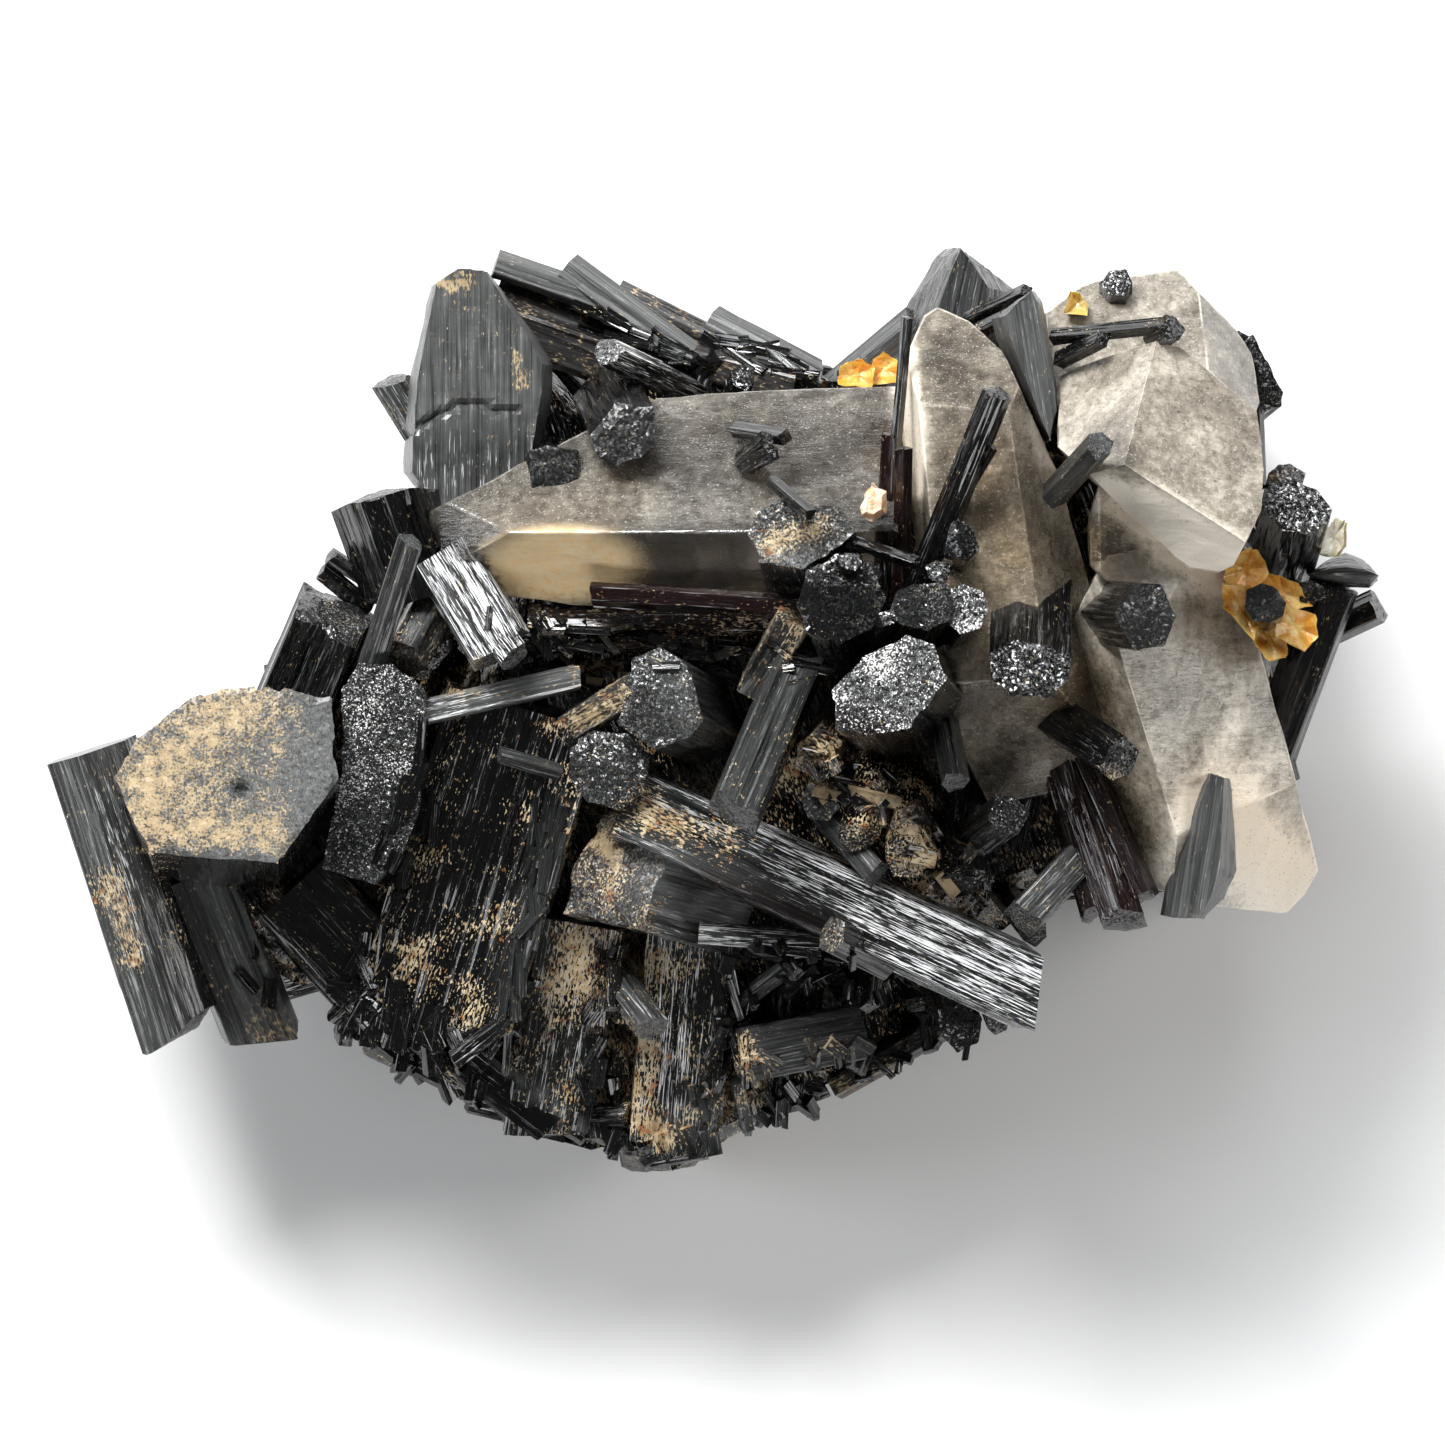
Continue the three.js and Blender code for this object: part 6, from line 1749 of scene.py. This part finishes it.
def leaf(outline, level, thickness, rng):
    """A thin curled leaf of mica as points and faces."""
    outline = counter_clockwise(outline)
    centre = centre_of(outline)
    rim = []
    for start, end in zip(outline, np.roll(outline, -1, 0)):
        for share in np.linspace(0, 1, 5)[:-1]:
            rim.append(start + (end - start) * share)
    rim = np.array(rim)
    rim = centre + (rim - centre) * rng.uniform(0.9, 1.02, (len(rim), 1))
    lean = rng.uniform(-0.12, 0.12, 2)
    rings = []
    for share in (1.0, 0.8, 0.5, 0.2):
        flat = centre + (rim - centre) * share
        curl = level + (flat - centre) @ lean + (1 - share ** 2) * -0.5
        curl += np.sin(np.arange(len(rim)) * 1.3 + level) * 0.16 * share
        rings.append(np.column_stack([flat, curl]))
    upper = np.concatenate(rings)
    lower = upper - [0, 0, thickness]
    count, faces = len(rim), []
    for ring in range(3):
        for j in range(count):
            a, b = ring * count + j, ring * count + (j + 1) % count
            c, d = b + count, a + count
            faces += [[a, b, c, d], [x + len(upper) for x in (d, c, b, a)]]
    inner = list(range(3 * count, 4 * count))
    faces += [inner, [x + len(upper) for x in reversed(inner)]]
    for j in range(count):
        k = (j + 1) % count
        faces.append([k, j, j + len(upper), k + len(upper)])
    return np.concatenate([upper, lower]), faces


def build_leaves(name, petals, floor, number, material, seed):
    """Books of mica leaves, one book to a petal."""
    rng = np.random.default_rng(seed)
    points, faces = [], []
    for petal in petals:
        outline, top = petal[:-1], petal[-1]
        gap = min(0.42, (top - floor) / number)
        for layer in range(number):
            share = 1 - 0.05 * layer * rng.uniform(0.4, 1.2)
            shift = rng.uniform(-0.12, 0.12, 2)
            level = top - 0.25 - layer * gap
            made, sides = leaf(resized(outline, share) + shift, level, gap * 0.72, rng)
            start = len(points)
            points += list(made)
            faces += [[start + corner for corner in side] for side in sides]
    mesh = mesh_of(name, points, faces)
    mesh.validate()
    return linked(name, mesh, material)


def crust_dent(place):
    """How far a point of the crust sinks, so that it is lumpy."""
    return (0.5 + noise.noise(place * 1.3)) * 0.22


def build_lump(name, rows, floor, material, seed):
    """Small rough lumps."""
    rng = np.random.default_rng(seed)
    points, faces = [], []
    for row in rows:
        outline, top = row[:-1], row[-1]
        corners = [(x, y, top - 0.5) for x, y in outline]
        corners += [(x, y, top) for x, y in resized(outline, 0.6)]
        corners += [(x, y, floor) for x, y in resized(outline, 0.6)]
        made = convex_mesh(corners)
        for direction in ((1, 0, 0), (0, 1, 0), (0, 0, 1)):
            sliced(made, direction, 0.22, rng)
        add_faces(made, points, faces, crust_dent)
        made.free()
    return linked(name, mesh_of(name, points, faces), material)


class SPECIMEN_OT_mica(bpy.types.Operator):
    """Lay the mica leaves and the pale crust"""

    bl_idname = "specimen.mica"
    bl_label = "Mica and crust"

    def execute(self, context):
        mica = context.scene.mica
        leaves = mica.leaves
        amber = mica_finish("amber_mica", tuple(mica.amber), (1.0, 0.66, 0.22))
        yellow = mica_finish("yellow_mica", (0.72, 0.46, 0.12), (0.85, 0.66, 0.3))
        pale = mica_finish("pale_mica", (0.74, 0.66, 0.5), (0.86, 0.82, 0.72))
        for name, node, petals, floor, number, material, seed in (
            ("mica_leaves", "mica_rosette", ROSETTE_PETALS, 17, leaves, amber, 71),
            ("mica_books_back", "mica_lumps_back", BACK_LUMPS, 11, leaves + 4, amber, 72),
            ("yellow_leaves", "mica_flake_yellow", YELLOW_FLAKE, 18.4, leaves, yellow, 74),
            ("pale_leaves", "mica_flake_pale", PALE_FLAKE, 16, leaves, pale, 75),
        ):
            finished(build_leaves(name, petals, floor, number, material, seed), [node])
        crust = build_lump("pale_crust_lump", PALE_LUMP, 26.2, crust_finish(), 73)
        finished(crust, ["pale_lump"])
        return {"FINISHED"}


def add_light(name, size, power, colour, place):
    """A rectangular light that points at the specimen."""
    data = bpy.data.lights.new(name, "AREA")
    data.shape = "RECTANGLE"
    data.size, data.size_y = size
    data.energy = power
    data.color = colour
    lamp = bpy.data.objects.new(name, data)
    lamp.location = place
    lamp.rotation_euler = (Vector(LIGHT_TARGET) - Vector(place)).to_track_quat("-Z", "Y").to_euler()
    bpy.context.scene.collection.objects.link(lamp)


class SPECIMEN_OT_stage(bpy.types.Operator):
    """Set the floor, the lights and the camera"""

    bl_idname = "specimen.stage"
    bl_label = "Stage"

    def execute(self, context):
        scene = context.scene
        settings = scene.stage
        finish = Finish("floor")
        finish.surface(finish.out("ShaderNodeBsdfDiffuse", 0, values={"Color": (*settings.floor, 1.0)}))
        half = FLOOR_WIDTH / 2
        corners = [(-half, -half, 0), (half, -half, 0), (half, half, 0), (-half, half, 0)]
        mesh = bpy.data.meshes.new("floor")
        mesh.from_pydata(corners, [], [(0, 1, 2, 3)])
        floor = linked("floor", mesh, finish.material)

        world = bpy.data.worlds.new("studio")
        world.use_nodes = True
        background = world.node_tree.nodes["Background"]
        background.inputs["Color"].default_value = (1.0, 1.0, 1.0, 1.0)
        background.inputs["Strength"].default_value = settings.air
        scene.world = world
        add_light("key_light", (0.26, 0.2), settings.key, (1.0, 1.0, 1.0), (-0.2, 0.41, 0.38))
        for name, size, share, colour, place in SOFT_LIGHTS:
            add_light(name, size, settings.fill * share, colour, place)

        lens = bpy.data.cameras.new("camera")
        width = FRAME_PIXELS * PIXEL
        lens.sensor_width = SENSOR
        lens.lens = SENSOR * (settings.distance / MM - MIDDLE_HEIGHT) / width
        lens.clip_start, lens.clip_end = 0.1, 10.0
        camera = bpy.data.objects.new("camera", lens)
        shift = (FRAME_PIXELS / 2 - CAMERA_PIXEL) * PIXEL
        camera.location = (*in_metres([shift, -shift, 0])[:2], settings.distance)
        scene.collection.objects.link(camera)
        scene.camera = camera
        scene.view_settings.view_transform = "Standard"
        return {"FINISHED"}


OPERATORS = [SPECIMEN_OT_prisms, SPECIMEN_OT_mass, SPECIMEN_OT_carried, SPECIMEN_OT_quartz, SPECIMEN_OT_mica,
             SPECIMEN_OT_stage]
SETTINGS = {"schorl": SchorlSettings, "quartz": QuartzSettings, "mica": MicaSettings, "stage": StageSettings}


class SPECIMEN_PT_panel(bpy.types.Panel):
    """Sizes, colours and operators of the specimen"""

    bl_idname = "SPECIMEN_PT_panel"
    bl_label = "Schorl on smoky quartz"
    bl_space_type = "VIEW_3D"
    bl_region_type = "UI"
    bl_category = "Specimen"

    def draw(self, context):
        for key, kind in SETTINGS.items():
            box = self.layout.box()
            for name in kind.__annotations__:
                box.prop(getattr(context.scene, key), name)
        for operator in OPERATORS:
            self.layout.operator(operator.bl_idname)


def register():
    for kind in [*SETTINGS.values(), *OPERATORS, SPECIMEN_PT_panel]:
        bpy.utils.register_class(kind)
    for key, kind in SETTINGS.items():
        setattr(bpy.types.Scene, key, bpy.props.PointerProperty(type=kind))


def unregister():
    for key in SETTINGS:
        delattr(bpy.types.Scene, key)
    for kind in reversed([*SETTINGS.values(), *OPERATORS, SPECIMEN_PT_panel]):
        bpy.utils.unregister_class(kind)


def main():
    register()
    bpy.ops.specimen.stage()
    bpy.ops.specimen.prisms()
    bpy.ops.specimen.mass()
    bpy.ops.specimen.carried()
    bpy.ops.specimen.quartz()
    bpy.ops.specimen.mica()


if __name__ == "__main__":
    main()
